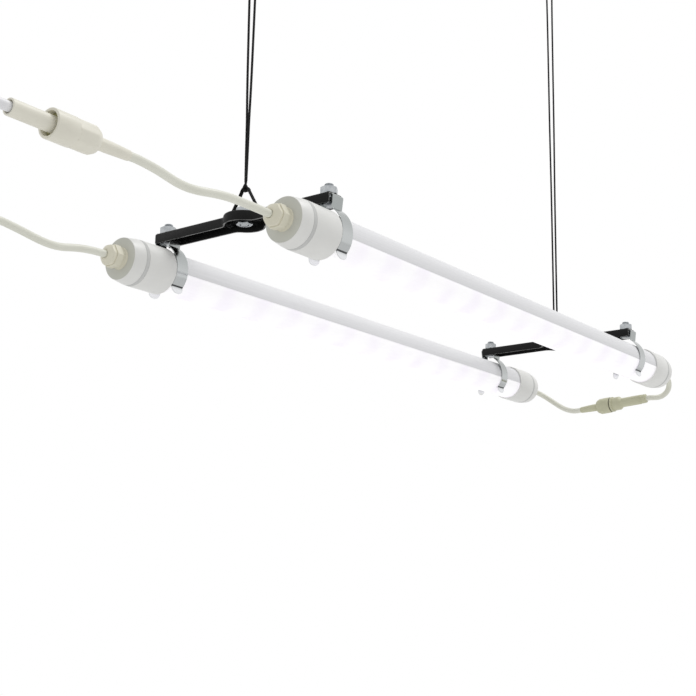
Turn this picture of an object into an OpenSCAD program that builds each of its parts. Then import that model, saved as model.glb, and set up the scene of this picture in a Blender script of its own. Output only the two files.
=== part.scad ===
// Hanging shop light: two sealed LED tubes side by side, held in spring clips under two
// channel cross arms, which hang on doubled ropes from two ceiling hooks.
// X runs along the tubes from the near end to the far end, Y from tube B to tube A, Z up.
// The origin is where the front hook's shank enters the ceiling.

/* [Layout] */
// Length of a lamp from end face to end face
lamp_l = 690; // [520:5:1300]
// Distance between the two tubes' axes
tube_pitch = 182; // [150:1:300]
// Height of the ceiling above the tubes' axes
hang_drop = 540; // [420:5:1200]
// Distance from the near caps' rims to the front clips
clip_off_cap = 0.5; // [0.5:0.5:26]
// Distance from the far end face to the rear arm's middle
rear_inset = 86; // [54:1:180]

/* [Tubes] */
// Outside diameter of a tube
tube_d = 38; // [36:0.5:42]
// Wall of the aluminium upper shell
shell_wall = 1.5; // [1:0.1:2]
// Wall of the diffuser
diffuser_wall = 1.3; // [1:0.1:2]
// How far below the axis the shell meets the diffuser
split_drop = 2.7; // [1:0.1:5]
// Thickness of the shelf that carries the LED board
shelf_t = 1.5; // [1:0.1:2.5]
// Height of the shelf's underside above the axis
shelf_rise = 3; // [2.5:0.1:5]
// Width of the LED board
board_w = 26; // [16:1:28]
// Thickness of the LED board
board_t = 1.2; // [0.8:0.1:1.6]
// Distance between LED chips
chip_pitch = 22; // [12:1:60]
// Length of the driver board
driver_l = 160; // [120:5:260]

/* [End caps] */
// Length of an end cap
cap_l = 47; // [40:0.5:47]
// How far the end face's edge lies inside the collar
face_step = 1.9; // [0.5:0.1:3]
// How far the collar lies inside the sleeve's surface
collar_step = 0.2; // [0:0.1:0.6]
// Length of the collar
collar_l = 12; // [8:0.5:14]
// Wall of the cap's sleeve
cap_wall = 1.5; // [1.4:0.1:3]
// Thickness of the end face
face_t = 3; // [2:0.1:5]
// How deep the tube stops inside the cap
tube_stop = 17; // [16:0.5:22]
// Width of the seal ring
seal_w = 3.5; // [2:0.1:4]
// How far the seal ring lies below the sleeve's surface
seal_step = 0.7; // [0.3:0.1:1]

/* [Cable glands] */
// Width across flats of the gland's flange
flange_af = 18; // [16:0.5:20]
// Thickness of the gland's flange
flange_t = 5; // [3:0.5:7]
// Diameter of the gland's thread in the end face
gland_d = 15.8; // [12:0.1:16]
// Width across flats of the gland's dome nut
dome_af = 15; // [14:0.5:17]
// Length of the dome nut
dome_l = 9; // [8:0.5:12]
// Diameter of the neck inside the dome nut
neck_d = 12; // [10:0.5:13]

/* [Cross arms] */
// Width of the channel
arm_w = 18; // [17:0.5:24]
// Height of the channel
arm_h = 9; // [7:0.5:14]
// Sheet thickness of the channel
arm_t = 1.5; // [1:0.1:2]
// Height of the channel's top above the tubes
arm_gap = 16.5; // [15:0.5:31]
// How far the channel runs past a clip bolt
arm_end = 7; // [5.5:0.5:8]
// Diameter of the hub in the channel's middle
hub_d = 36; // [30:1:46]
// Radius of the fillets between hub and channel
hub_fillet = 8; // [4:0.5:12]

/* [Clips] */
// Width of the spring strip
strip_w = 13; // [10:0.5:13]
// Thickness of the spring strip
strip_t = 0.8; // [0.6:0.1:1]
// Gap between the tube and the strip
strip_gap = 0.3; // [0.2:0.05:0.4]
// Lean of the clip's legs towards the bolt
leg_lean = 7; // [4:0.5:10]
// Angle above the horizontal where the strip meets the tube
hug_top = 37; // [33:0.5:40]
// Angle below the horizontal where the strip leaves the tube
hug_bottom = 45; // [40:1:50]
// Length of the straight part between tube and leg
flare_l = 11.6; // [10:0.2:13]
// Length of the rounded lips that lead the tube in
lip_l = 6.2; // [6:0.2:8]

/* [Fasteners] */
// Diameter of the bolts
bolt_d = 8; // [6:0.5:8]
// Width across flats of bolt heads and nuts
hex_af = 13; // [10:0.5:13]
// Height of a bolt head
head_h = 5.3; // [4:0.1:6]
// Height of a nut
nut_h = 6.5; // [5:0.1:6.8]
// Diameter of the washer on a hub
washer_d = 16; // [12:0.5:17]
// Diameter of the washer inside a clip
clip_washer_d = 15; // [12:0.5:15.5]
// Thickness of a washer
washer_t = 1.6; // [1:0.1:2]
// How far a clip bolt stands out of its nut
bolt_over = 2.3; // [0.5:0.1:3]

/* [Hooks and ropes] */
// Diameter of the hook's wire
wire_d = 4.4; // [4:0.1:4.6]
// Radius of the hook's bowl, to the middle of the wire
bowl_r = 11; // [10:0.5:14]
// Radius of the bend between bowl and shank
neck_r = 6; // [5:0.5:8]
// Depth of the bowl's lowest point below the ceiling, to the middle of the wire
hook_drop = 40; // [34:1:50]
// Length of the shank above the ceiling
shank_l = 24; // [15:1:40]
// Diameter of the collar under the ceiling
hook_collar_d = 12; // [10:0.5:16]
// Thickness of the collar
hook_collar_t = 1.5; // [1:0.1:2.5]
// Diameter of the rope
rope_d = 2.2; // [1.8:0.1:2.4]
// Diameter of the sling's cord, which is laid double
sling_d = 1.8; // [1.4:0.1:2]
// Distance between a sling's two holes in the arm
rope_span = 34; // [34:0.5:44]
// Height of a sling knot's middle above the arm
knot_rise = 26.5; // [24:0.5:32]
// Diameter of the knot at the top of a sling
knot_d = 5.2; // [4.6:0.2:6]
// Diameter of the stopper knots under the arm
stopper_d = 6.4; // [6:0.2:7]

/* [Leads] */
// Diameter of the lamp leads
lead_d = 6.4; // [5:0.1:6.8]
// Diameter of the supply cable
supply_d = 6.8; // [5:0.1:7.2]

/* [Connectors] */
// Diameter of the long coupling nut on lead B
long_nut_d = 20.5; // [19:0.5:26]
// Length of the long coupling nut
long_nut_l = 37; // [28:1:45]
// Length of the tail in front of the long nut
long_tail_l = 29; // [20:1:36]
// Length of the plug half outside the long nut
long_plug_l = 30; // [24:1:40]
// Diameter of the short coupling nuts
short_nut_d = 19.4; // [18.5:0.1:26]
// Length of the short coupling nuts
short_nut_l = 18; // [18:1:26]
// Length of the tail in front of a short nut
short_tail_l = 24; // [18:1:32]
// Length of the plug half outside a short nut
short_plug_l = 48; // [34:1:60]
// Wall of a coupling nut
nut_wall = 2; // [1.6:0.1:2.4]
// Diameter of a connector's tail at the coupling nut
tail_d = 9.4; // [8:0.1:10]
// Diameter of a connector's plug half
plug_d = 11.4; // [9:0.1:12]

/* [Hidden] */
$fn = 64;

// Clearances
fit = 0.05;        // between pieces of one body, each side
running = 0.3;     // between pieces that move against each other
bolt_play = 0.3;   // between a bolt and its hole, each side

// Worked out from the sizes above
arm_inset = cap_l + clip_off_cap + strip_w / 2;
near_x = -arm_inset;
far_x = near_x + lamp_l;
arm_pitch = lamp_l - arm_inset - rear_inset;
tube_r = tube_d / 2;
arm_rise = tube_r + arm_gap;
axis_z = -hang_drop;
arm_z = axis_z + arm_rise;
wire_z = -hook_drop;
knot_z = arm_z + knot_rise;
strip_r = tube_r + strip_gap + strip_t / 2;
hole_d = bolt_d + 2 * bolt_play;
rope_hole_d = 2 * sling_d + 0.7;
bend_r = wire_d / 2 + running + rope_d / 2;
overlap = 0.01;    // lets the parts of one solid join
cap_d = tube_d + 4 * fit + 2 * cap_wall;
collar_d = cap_d - 2 * collar_step;
face_d = collar_d - 2 * face_step;

// A lead's points, counted from the end face that it leaves: along X, Y and Z
function from_end(x, side, points) =
  [for (p = points) [x, side * tube_pitch / 2, axis_z] + p];
lead_b_route = from_end(near_x, -1, [
  [-13, 0, 0], [-21, 0, 0], [-31, 0, 0.1], [-41, -0.2, 0], [-51, -0.5, -0.2],
  [-61, -0.6, -0.6], [-71, -0.2, -1.4], [-81, 0.6, -2.6], [-91, 1.2, -4], [-101, 1.2, -4.8],
  [-111, 0.8, -4.6], [-121, 0.2, -3.4], [-131, -0.1, -1.8], [-141, 0, -0.6], [-149, 0, 0],
  [-157, 0, 0]]);
lead_a_route = from_end(near_x, 1, [
  [-13, 0, 0], [-17, 0, 0], [-23, 0, -0.3], [-31, 0.2, -0.6], [-41, 0.5, -1.6],
  [-51, 0.6, -3.4], [-61, 0.2, -5.6], [-71, -0.2, -6.6], [-81, -0.4, -6.2],
  [-91, -0.4, -4.8], [-101, -0.2, -3], [-111, 0, -1.4], [-121, 0, -0.2], [-129, 0, 0],
  [-137, 0, 0]]);
link_a_route = from_end(far_x, 1, [
  [13, 0, 0], [18, 0, 0], [25, -1.5, -1], [31, -6, -4], [35, -13, -9], [37, -21, -15],
  [37, -29, -20.5], [36, -37, -25], [34, -45, -28], [32, -52.5, -29.8],
  [31, -59.01, -30.079], [31, -63, -29.8]]);
link_b_route = from_end(far_x, -1, [
  [13, 0, 0], [18, 0, 0], [25, 0, -0.8], [32, 0.6, -3], [38, 2, -7], [41.5, 4.4, -12],
  [42, 8, -17], [39.5, 12.5, -21], [36, 16.7, -22.8], [32.6, 21.2, -23.2],
  [31, 25.23, -23.243], [31, 29.215, -23.522]]);
// The supply cable leaves the mouth of the long connector's plug half
mouth_l = 3;
supply_start = lead_b_route[len(lead_b_route) - 1]
  - [long_tail_l + long_nut_l + long_plug_l - mouth_l, 0, 0];
supply_route = [for (x = [0, -7, -16, -26, -36, -44]) supply_start + [x, 0, 0]];
// A strand's points are its offsets along and across the lamp, and its height.
// The two strands of a rope lie against each other where they meet the sling.
front_strand = [
  [0.8, 0.83, -473.7], [0.7, 0.92, -465], [0.42, 1.07, -447], [0.05, 1.27, -420],
  [0, 2, -393], [0, 2.5, -366], [0, 3.2, -314], [0, 3.6, -275], [0, 3.8, -220],
  [0, 3.8, -150], [0, 3.7, -90], [0, 3.6, -55], [0, 3.6, -40.3]];
rear_strand = [
  [0, 2, -473.7], [0, 2.1, -465], [0, 2.2, -392], [0, 2.4, -316], [0, 2.9, -240],
  [0, 3.1, -165], [0, 3.3, -93], [0, 3.6, -55], [0, 3.6, -40.3]];
// A sling's points across the lamp and up, from one stopper knot to the top of the sling
sling_half = [
  [17, -511.5], [17, -508], [17, -505.5], [16.8, -504], [15.9, -502.2], [13.2, -497.7],
  [10.2, -492.7], [7.2, -487.7], [4.6, -483.3], [2.9, -480.5], [1.5, -478.9]];
sling_route = concat(sling_half, [[0, -478.3]],
  [for (i = [len(sling_half) - 1:-1:0]) [-sling_half[i][0], sling_half[i][1]]]);

// ---------- general shapes ----------

// Turns what stands along Z to lie along X
module along_x() {
  rotate([0, 90, 0]) children();
}

// A cross-section drawn across (sideways) and up, drawn out along X
module drawn_along_x(length) {
  rotate([90, 0, 90]) linear_extrude(length) children();
}

// A six-sided prism by its width across flats, with two flats facing along X
module hex_prism(af, h) {
  rotate(30) cylinder(d = af / cos(30), h = h, $fn = 6);
}

// The chamfer that rounds the corners of a hexagon's end
module hex_chamfer(af, h) {
  corner = af / cos(30) / 2;
  rotate_extrude()
    polygon([[0, 0], [corner, 0], [corner, h - (corner - af * 0.47) * 0.577],
             [af * 0.47, h], [0, h]]);
}

module bolt(length) {
  cylinder(d = bolt_d, h = length + overlap);
  translate([0, 0, length]) intersection() {
    hex_prism(hex_af, head_h);
    hex_chamfer(hex_af, head_h);
  }
}

module nut() {
  difference() {
    intersection() {
      hex_prism(hex_af, nut_h);
      hex_chamfer(hex_af, nut_h);
      translate([0, 0, nut_h]) mirror([0, 0, 1]) hex_chamfer(hex_af, nut_h);
    }
    translate([0, 0, -1]) cylinder(d = bolt_d + 2 * fit, h = nut_h + 2);
  }
}

module washer(d, t) {
  difference() {
    cylinder(d = d, h = t);
    translate([0, 0, -1]) cylinder(d = hole_d, h = t + 2);
  }
}

// Vector sums used by the sweep
function unit(v) = v / norm(v);
function side_of(t) = abs(t[2]) < 0.9 ? unit(cross(t, [0, 0, 1])) : unit(cross(t, [1, 0, 0]));
function heading(p, i) =
  unit(p[min(i + 1, len(p) - 1)] - p[max(i - 1, 0)]);

// A round tube along a list of points, as one closed surface
module swept(points, d, sides = 8) {
  n = len(points);
  rings = [for (i = [0:n - 1])
    let (t = heading(points, i), u = side_of(t), v = cross(t, u))
    for (k = [0:sides - 1])
      points[i] + d / 2 * (cos(360 * k / sides) * u + sin(360 * k / sides) * v)];
  walls = [for (i = [0:n - 2], k = [0:sides - 1])
    let (a = i * sides + k, b = i * sides + (k + 1) % sides)
    [a, b, b + sides, a + sides]];
  polyhedron(rings, concat([[for (k = [sides - 1:-1:0]) k]], walls,
    [[for (k = [0:sides - 1]) (n - 1) * sides + k]]), convexity = 4);
}

// ---------- ceiling hooks and ropes ----------

bowl_z = wire_z + bowl_r;
neck_rise = sqrt(pow(bowl_r + neck_r, 2) - pow(neck_r, 2));
neck_angle = asin(neck_rise / (bowl_r + neck_r));
shank_z = bowl_z + neck_rise;
bowl_tip = 20;     // how far the bowl's tip rises past level, in degrees

// Part of a ring of wire standing in the X-Z plane
module wire_arc(r, from, sweep) {
  rotate([90, 0, 0]) rotate(from) rotate_extrude(angle = sweep)
    translate([r, 0]) circle(d = wire_d, $fn = 32);
}

module hook(x) {
  color("silver") translate([x, 0, 0]) {
    translate([0, 0, bowl_z]) wire_arc(bowl_r, 180 - neck_angle, 180 + neck_angle + bowl_tip);
    translate([-neck_r, 0, shank_z]) wire_arc(neck_r, -neck_angle, neck_angle);
    translate([0, 0, shank_z]) cylinder(d = wire_d, h = shank_l - shank_z);
    translate([0, 0, -hook_collar_t - 2]) cylinder(d = hook_collar_d, h = hook_collar_t);
    // balls close the joints between the arcs, and the tip
    for (p = [[0, shank_z], [0, bowl_z] + bowl_r * [-cos(neck_angle), sin(neck_angle)],
              [0, bowl_z] + bowl_r * [cos(bowl_tip), sin(bowl_tip)]])
      translate([p[0], 0, p[1]]) sphere(d = wire_d + 0.1);
  }
}

// The rope's half turn over each hook
module rope_bends() {
  color("#1c1c1c") for (x = [0, arm_pitch])
    translate([x, 0, wire_z]) rotate([0, -90, 0]) rotate(-90) rotate_extrude(angle = 180)
      translate([bend_r, 0]) circle(d = rope_d, $fn = 24);
}

module strand(x, side, points) {
  color("#1c1c1c") swept([for (p = points) [x + side * p[0], side * p[1], p[2]]], rope_d);
}

module sling(x) {
  color("#1c1c1c") for (side = [-1, 1])
    swept([for (p = sling_route) [x + side * (sling_d / 2 + fit), p[0], p[1]]], sling_d);
}

// A knot is a pinched ball
module knot(d, h) {
  rotate_extrude($fn = 24)
    polygon([[0, -h / 2], [d * 0.3, -h / 2], [d / 2, -h * 0.2], [d / 2, h * 0.2],
             [d * 0.34, h / 2], [0, h / 2]]);
}

module sling_knots() {
  color("#1c1c1c") for (x = [0, arm_pitch])
    translate([x, 0, knot_z]) knot(knot_d, 8);
}

module stopper_knots() {
  color("#1c1c1c") for (x = [0, arm_pitch], side = [-1, 1])
    translate([x, side * rope_span / 2, arm_z - arm_t - fit - 2.5]) knot(stopper_d, 5);
}

// ---------- cross arms ----------

// A bar with a round hub in its middle, filleted together
module hub_bar(half_w, hub_r, fillet, h) {
  reach = sqrt(pow(hub_r + fillet, 2) - pow(half_w + fillet, 2));
  half_l = tube_pitch / 2 + arm_end;
  translate([-half_w, -half_l, 0]) cube([2 * half_w, 2 * half_l, h]);
  cylinder(r = hub_r, h = h);
  for (sx = [-1, 1], sy = [-1, 1]) scale([sx, sy, 1]) linear_extrude(h) difference() {
    polygon([[-1, 0], [0, 0], [half_w + fillet, reach], [-1, reach]]);
    translate([half_w + fillet, reach]) circle(r = fillet);
  }
}

module arm(x) {
  color("#1a1a1c") translate([x, 0, arm_z - arm_h]) difference() {
    hub_bar(arm_w / 2, hub_d / 2, hub_fillet, arm_h);
    translate([0, 0, -1])
      hub_bar(arm_w / 2 - arm_t, hub_d / 2 - arm_t, hub_fillet + arm_t, arm_h - arm_t + 1);
    // the channel is open at its ends
    for (side = [-1, 1]) translate([0, side * (tube_pitch / 2 + arm_end), (arm_h - arm_t - 1) / 2])
      cube([arm_w - 2 * arm_t, 2, arm_h - arm_t + 1], center = true);
    for (y = [-tube_pitch / 2, 0, tube_pitch / 2]) translate([0, y, -1])
      cylinder(d = hole_d, h = arm_h + 2);
    for (side = [-1, 1]) translate([0, side * rope_span / 2, -1])
      cylinder(d = rope_hole_d, h = arm_h + 2, $fn = 32);
  }
}

hub_bolt_l = washer_t + arm_t + nut_h;

module hub_bolts() {
  color("silver") for (x = [0, arm_pitch])
    translate([x, 0, arm_z + washer_t - hub_bolt_l]) bolt(hub_bolt_l);
}

module hub_washers() {
  color("silver") for (x = [0, arm_pitch])
    translate([x, 0, arm_z]) washer(washer_d, washer_t);
}

module hub_nuts() {
  color("silver") for (x = [0, arm_pitch])
    translate([x, 0, arm_z - arm_t - nut_h]) nut();
}

// ---------- spring clips ----------

// The strip is followed edge on. Each step is [length, 0] for a straight or
// [radius, angle] for a bend, with a positive angle to the left.
// A thin bead joins one step to the next.
module bent_strip(steps, i = 0) {
  if (i < len(steps)) {
    r = steps[i][0];
    a = steps[i][1];
    s = sign(a);
    if (a == 0) straight_strip(r);
    else translate([0, s * r]) strip_bend(r, s > 0 ? -90 : 90 + a, abs(a));
    translate(a == 0 ? [r, 0] : [r * sin(abs(a)), s * r * (1 - cos(a))]) rotate(a) {
      bead();
      bent_strip(steps, i + 1);
    }
  }
}

module straight_strip(length) {
  translate([0.01, -strip_t / 2]) square([length - 0.02, strip_t]);
}

// Part of a flat ring as wide as the strip is thick
module strip_bend(r, from, sweep) {
  far = 3 * (r + strip_t);
  ease = 0.6 / r;
  intersection() {
    difference() {
      circle(r = r + strip_t / 2);
      circle(r = r - strip_t / 2);
    }
    polygon(concat([[0, 0]], [for (i = [0:4])
      let (a = from + ease + (sweep - 2 * ease) * i / 4) far * [cos(a), sin(a)]]));
  }
}

module bead() {
  circle(d = strip_t + 0.02, $fn = 32);
}

foot_bend = 3;     // radius where the flare turns into the leg
top_bend = 1.4;    // radius where the leg turns into the web
lip_bend = 1.2;    // radius where the strip leaves the tube
lip_fold = 56;     // angle between strip and lip, in degrees
web_z = arm_rise - arm_t - strip_t / 2;
leg_heading = 90 - leg_lean;
foot_turn = 90 + hug_top - leg_heading;
// Where the flare ends and where the foot bend ends, across and up from the tube's axis
flare_end = strip_r * [cos(hug_top), sin(hug_top)] + flare_l * [-sin(hug_top), cos(hug_top)];
leg_start = flare_end + foot_bend * ([cos(hug_top), sin(hug_top)]
  - [cos(leg_lean), -sin(leg_lean)]);
leg_l = (web_z - leg_start[1] - top_bend * (1 + sin(leg_lean))) / cos(leg_lean);
web_start = leg_start + leg_l * [sin(leg_lean), cos(leg_lean)]
  + top_bend * [-cos(leg_lean), 1 + sin(leg_lean)];

// Half of the clip without its web, across and up from the tube's axis
module half_clip() {
  translate(strip_r * [cos(hug_top), sin(hug_top)]) rotate(90 + hug_top) {
    bead();
    bent_strip([[flare_l, 0], [foot_bend, -foot_turn], [leg_l, 0],
                [top_bend, 180 - leg_heading]]);
  }
  strip_bend(strip_r, -hug_bottom, hug_bottom + hug_top);
  translate(strip_r * [cos(hug_bottom), -sin(hug_bottom)]) rotate(-90 - hug_bottom) {
    bead();
    bent_strip([[lip_bend, lip_fold], [lip_l, 0]]);
  }
}

// Where a lip ends, across and up from the tube's axis
lip_heading = lip_fold - hug_bottom - 90;
lip_end = strip_r * [cos(hug_bottom), -sin(hug_bottom)]
  + lip_bend * [cos(hug_bottom) + sin(lip_heading), -sin(hug_bottom) - cos(lip_heading)]
  + lip_l * [cos(lip_heading), sin(lip_heading)];

// What rounding a lip's two corners takes away
module lip_corners() {
  r = 5.5;
  translate([0, lip_end[0], lip_end[1]]) rotate([lip_heading, 0, 0])
    linear_extrude(3, center = true) for (m = [0, 1]) mirror([m, 0]) difference() {
      translate([strip_w / 2 - r, -r]) square([r + 1, r + 1]);
      translate([strip_w / 2 - r, -r]) circle(r = r);
    }
}

module clip(x, side) {
  color("#b9bcbd") translate([x, side * tube_pitch / 2, axis_z]) difference() {
    translate([-strip_w / 2, 0, 0]) drawn_along_x(strip_w) {
      half_clip();
      mirror([1, 0]) half_clip();
      translate([-web_start[0], web_z]) straight_strip(2 * web_start[0]);
    }
    translate([0, 0, web_z - strip_t]) cylinder(d = hole_d, h = 2 * strip_t);
    for (m = [0, 1]) mirror([0, m, 0]) lip_corners();
  }
}

clip_stack = arm_t + strip_t + washer_t;
clip_bolt_l = clip_stack + nut_h + bolt_over;

// The bolts point up: the heads are held between the legs, the nuts sit on the arm
module at_clips() {
  for (x = [0, arm_pitch], side = [-1, 1])
    translate([x, side * tube_pitch / 2, arm_z]) children();
}

module clip_bolts() {
  color("silver") at_clips() translate([0, 0, nut_h + bolt_over]) rotate([180, 0, 0])
    bolt(clip_bolt_l);
}

module clip_washers() {
  color("silver") at_clips() translate([0, 0, -clip_stack]) washer(clip_washer_d, washer_t);
}

module clip_nuts() {
  color("silver") at_clips() nut();
}

// ---------- sealed LED tubes ----------

// side is 1 for tube A and -1 for tube B; x counts from the near end face
module at_tube(side) {
  translate([near_x, side * tube_pitch / 2, axis_z]) children();
}

// The same for both ends: children point away from the lamp at the near end
module at_ends(side) {
  at_tube(side) children();
  at_tube(side) translate([lamp_l, 0, 0]) mirror([1, 0, 0]) children();
}

body_x = tube_stop + 0.5;          // where the tube's profiles begin
body_l = lamp_l - 2 * body_x;
inner_r = tube_r - shell_wall;
board_z = shelf_rise - board_t;
chip_h = 0.8;

// The part of a round section above a height
module disc_above(r, height) {
  intersection() {
    circle(r = r);
    translate([-r, height]) square([2 * r, 2 * r]);
  }
}

module heat_sink(side) {
  color("#e2e2e4") at_tube(side) translate([body_x, 0, 0]) drawn_along_x(body_l)
    difference() {
      disc_above(tube_r, -split_drop);
      disc_above(inner_r, shelf_rise + shelf_t);
      intersection() {
        circle(r = inner_r);
        translate([-tube_r, shelf_rise - tube_d]) square([tube_d, tube_d]);
      }
    }
}

// The diffuser is flush with the shell, and two hooks behind its edges hold it
module diffuser(side) {
  hook_r = inner_r - fit;
  edge_z = -split_drop - fit;
  color("#fcfbfd") at_tube(side) translate([body_x, 0, 0]) drawn_along_x(body_l) {
    difference() {
      circle(r = tube_r);
      circle(r = tube_r - diffuser_wall);
      translate([-tube_r, edge_z]) square([tube_d, tube_d]);
    }
    intersection() {
      difference() {
        circle(r = hook_r);
        circle(r = hook_r - 1);
      }
      translate([-tube_r, edge_z - 1.4]) square([tube_d, board_z - edge_z]);
    }
    // the hooks join the wall below the edge
    intersection() {
      difference() {
        circle(r = tube_r - 0.4);
        circle(r = hook_r - 1);
      }
      translate([-tube_r, edge_z - 1.4]) square([tube_d, 1.3]);
    }
  }
}

module led_board(side) {
  color("#f2f4f0") at_tube(side) translate([body_x + 5, -board_w / 2, board_z])
    cube([body_l - 10, board_w, board_t]);
}

chip_l = 3.5;
chip_w = 2.8;
chip_margin = 20;
chips = floor((body_l - 2 * chip_margin) / chip_pitch);

module led_chips(side) {
  color("#f5e9a8") at_tube(side) for (i = [0:chips])
    translate([lamp_l / 2 + (i - chips / 2) * chip_pitch - chip_l / 2, -chip_w / 2,
               board_z - chip_h]) cube([chip_l, chip_w, chip_h]);
}

// The driver board stands on pads on the shelf, above the LED board
module driver(side) {
  shelf_top = shelf_rise + shelf_t;
  board_w = 20;
  pad_h = 2;
  color("#2f7a4a") at_tube(side) translate([cap_l + 12, 0, shelf_top]) {
    for (x = [4, driver_l - 10], y = [-6, 6]) translate([x, y - 2, 0]) cube([6, 4, pad_h]);
    translate([0, -board_w / 2, pad_h - overlap]) cube([driver_l, board_w, 1.2]);
    translate([driver_l * 0.125, -4, pad_h + 1]) cylinder(d = 8, h = 7);
    translate([driver_l * 0.2375, -6, pad_h + 1]) cube([16, 12, 7]);
    translate([driver_l * 0.4125, -5, pad_h + 1]) cube([12, 10, 5]);
    translate([driver_l * 0.625, -3, pad_h + 1]) cylinder(d = 8, h = 6.5);
    translate([driver_l * 0.7, 3, pad_h + 1]) cylinder(d = 6, h = 6.5);
  }
}

// Outline of a cap, radius against distance from the end face
module cap_profile() {
  face_r = face_d / 2;
  groove_r = seal_r - 1.2;
  cavity_r = tube_r - 2.5;
  bore_r = tube_r + fit * 2;
  polygon([[gland_d / 2 + fit, 0], [face_r - 0.5, 0], [face_r, 0.5],
    [collar_d / 2, collar_l - 0.6], [collar_d / 2 - 0.4, collar_l], [groove_r, collar_l],
    [groove_r, collar_l + seal_w], [cap_d / 2 - 0.4, collar_l + seal_w],
    [cap_d / 2, collar_l + seal_w + 0.5], [cap_d / 2, cap_l - 0.6], [cap_d / 2 - 0.6, cap_l],
    [bore_r, cap_l], [bore_r, tube_stop], [cavity_r, tube_stop], [cavity_r, face_t],
    [gland_d / 2 + fit, face_t]]);
}

seal_r = cap_d / 2 - seal_step;

module cap() {
  color("#e1e1de") along_x() rotate_extrude() cap_profile();
}

module cap_near(side) {
  at_tube(side) cap();
}

module cap_far(side) {
  at_tube(side) translate([lamp_l, 0, 0]) mirror([1, 0, 0]) cap();
}

module seals(side) {
  color("#a9abaa") at_ends(side) translate([collar_l + fit, 0, 0]) along_x()
    rotate_extrude() polygon([[seal_r - 1.2 + fit, 0], [seal_r, 0],
      [seal_r, seal_w - 2 * fit], [seal_r - 1.2 + fit, seal_w - 2 * fit]]);
}

neck_l = 5;        // how deep the gland's neck stands in the dome nut
mouth_t = 1;       // depth of the dome nut's mouth

module gland() {
  along_x() {
    translate([0, 0, -flange_t]) intersection() {
      hex_prism(flange_af, flange_t);
      translate([0, 0, flange_t]) mirror([0, 0, 1]) hex_chamfer(flange_af, flange_t);
    }
    translate([0, 0, -1]) cylinder(d = gland_d, h = face_t + 2.5);
    translate([0, 0, -flange_t - neck_l]) cylinder(d = neck_d, h = neck_l + 1);
  }
}

module glands(side) {
  color("#d6d5c6") at_ends(side) gland();
}

// A six-sided nut whose outer end is rounded down to the cable
module dome_nut() {
  corner = dome_af / cos(30) / 2;
  end_r = lead_d / 2 + 2;
  dome_h = dome_l - 4;
  along_x() translate([0, 0, -flange_t - dome_l]) difference() {
    intersection() {
      hex_prism(dome_af, dome_l);
      rotate_extrude() polygon(concat([[0, 0]],
        [for (a = [0:15:90]) [end_r + (corner - end_r) * sin(a), dome_h * (1 - cos(a))]],
        [[corner, dome_l], [0, dome_l]]));
    }
    translate([0, 0, dome_l - neck_l - 0.3]) cylinder(d = neck_d + 4 * fit, h = neck_l + 1);
    translate([0, 0, -1]) cylinder(d = lead_d + 0.8, h = mouth_t + 1);
  }
}

module gland_nuts(side) {
  color("#dcdbcc") at_ends(side) dome_nut();
}

// ---------- leads and connectors ----------

// Each piece is drawn along Z from the start of the tail
back_t = 4;        // thickness of the coupling nut's back wall
ring_t = 2.5;      // thickness of the ring that the nut pulls on
nose_l = 6;        // how far the socket half stands past the nut's back wall
mate_gap = 0.5;    // between the two halves inside the nut

module socket_half(tail_l, nut_d) {
  ring_r = nut_d / 2 - nut_wall - running;
  ring_start = tail_l + back_t + running;
  nose_end = tail_l + back_t + nose_l;
  color("#d9d8c9") rotate_extrude() polygon(concat([[0, 0], [lead_d / 2 + 0.4, 0]],
    [for (a = [0:30:90]) [lead_d / 2 + 0.4 + 0.5 * sin(a), 3 * (1 - cos(a))]],
    [[tail_d / 2, tail_l - 6], [tail_d / 2, ring_start], [ring_r, ring_start],
     [ring_r, ring_start + ring_t], [plug_d / 2, ring_start + ring_t],
     [plug_d / 2, nose_end], [0, nose_end]]));
}

// The coupling nut has flats for the fingers at its back
module coupling_nut(tail_l, nut_d, nut_l) {
  r = nut_d / 2;
  grip_l = nut_l * 0.55;
  color("#d9d8c9") translate([0, 0, tail_l]) difference() {
    intersection() {
      rotate_extrude() polygon([[0, 0], [r - 2.4, 0], [r, 3.5], [r, nut_l - 0.8],
        [r - 0.8, nut_l], [0, nut_l]]);
      union() {
        rotate(22.5) cylinder(r = r / cos(22.5) - 0.5, h = grip_l, $fn = 8);
        translate([0, 0, grip_l - overlap]) cylinder(r = r, h = nut_l);
      }
    }
    translate([0, 0, -1]) cylinder(d = tail_d + 2 * running, h = nut_l);
    translate([0, 0, back_t]) cylinder(r = r - nut_wall, h = nut_l);
  }
}

// The plug half of a long nut starts inside it and is slim from there on.
// Its end is hollow around the cable.
module slim_plug(tail_l, nut_d, nut_l, plug_l) {
  start = tail_l + back_t + nose_l + mate_gap;
  end = tail_l + nut_l + plug_l;
  thread_r = nut_d / 2 - nut_wall - running;
  mouth_r = supply_d / 2 + 1;
  color("#dddccd") rotate_extrude() polygon([[0, start], [thread_r, start],
    [thread_r, start + 3], [plug_d / 2, start + 4], [plug_d / 2, end - 0.6],
    [plug_d / 2 - 0.6, end], [mouth_r, end], [mouth_r, end - mouth_l], [0, end - mouth_l]]);
}

// The plug half of a short nut has a collar outside the nut
module collared_plug(tail_l, nut_d, nut_l, plug_l) {
  start = tail_l + back_t + nose_l + mate_gap;
  nut_end = tail_l + nut_l;
  thread_r = nut_d / 2 - nut_wall - running;
  collar_r = nut_d / 2 - 0.4;
  shoulder_r = nut_d / 2 - 1.4;
  color("#dddccd") rotate_extrude() polygon(concat([[0, start], [thread_r, start],
    [thread_r, nut_end + 1], [collar_r, nut_end + 1], [collar_r, nut_end + 4],
    [shoulder_r, nut_end + 4], [shoulder_r, nut_end + 14], [plug_d / 2, nut_end + 16]],
    plug_tail(nut_end + plug_l)));
}

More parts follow.
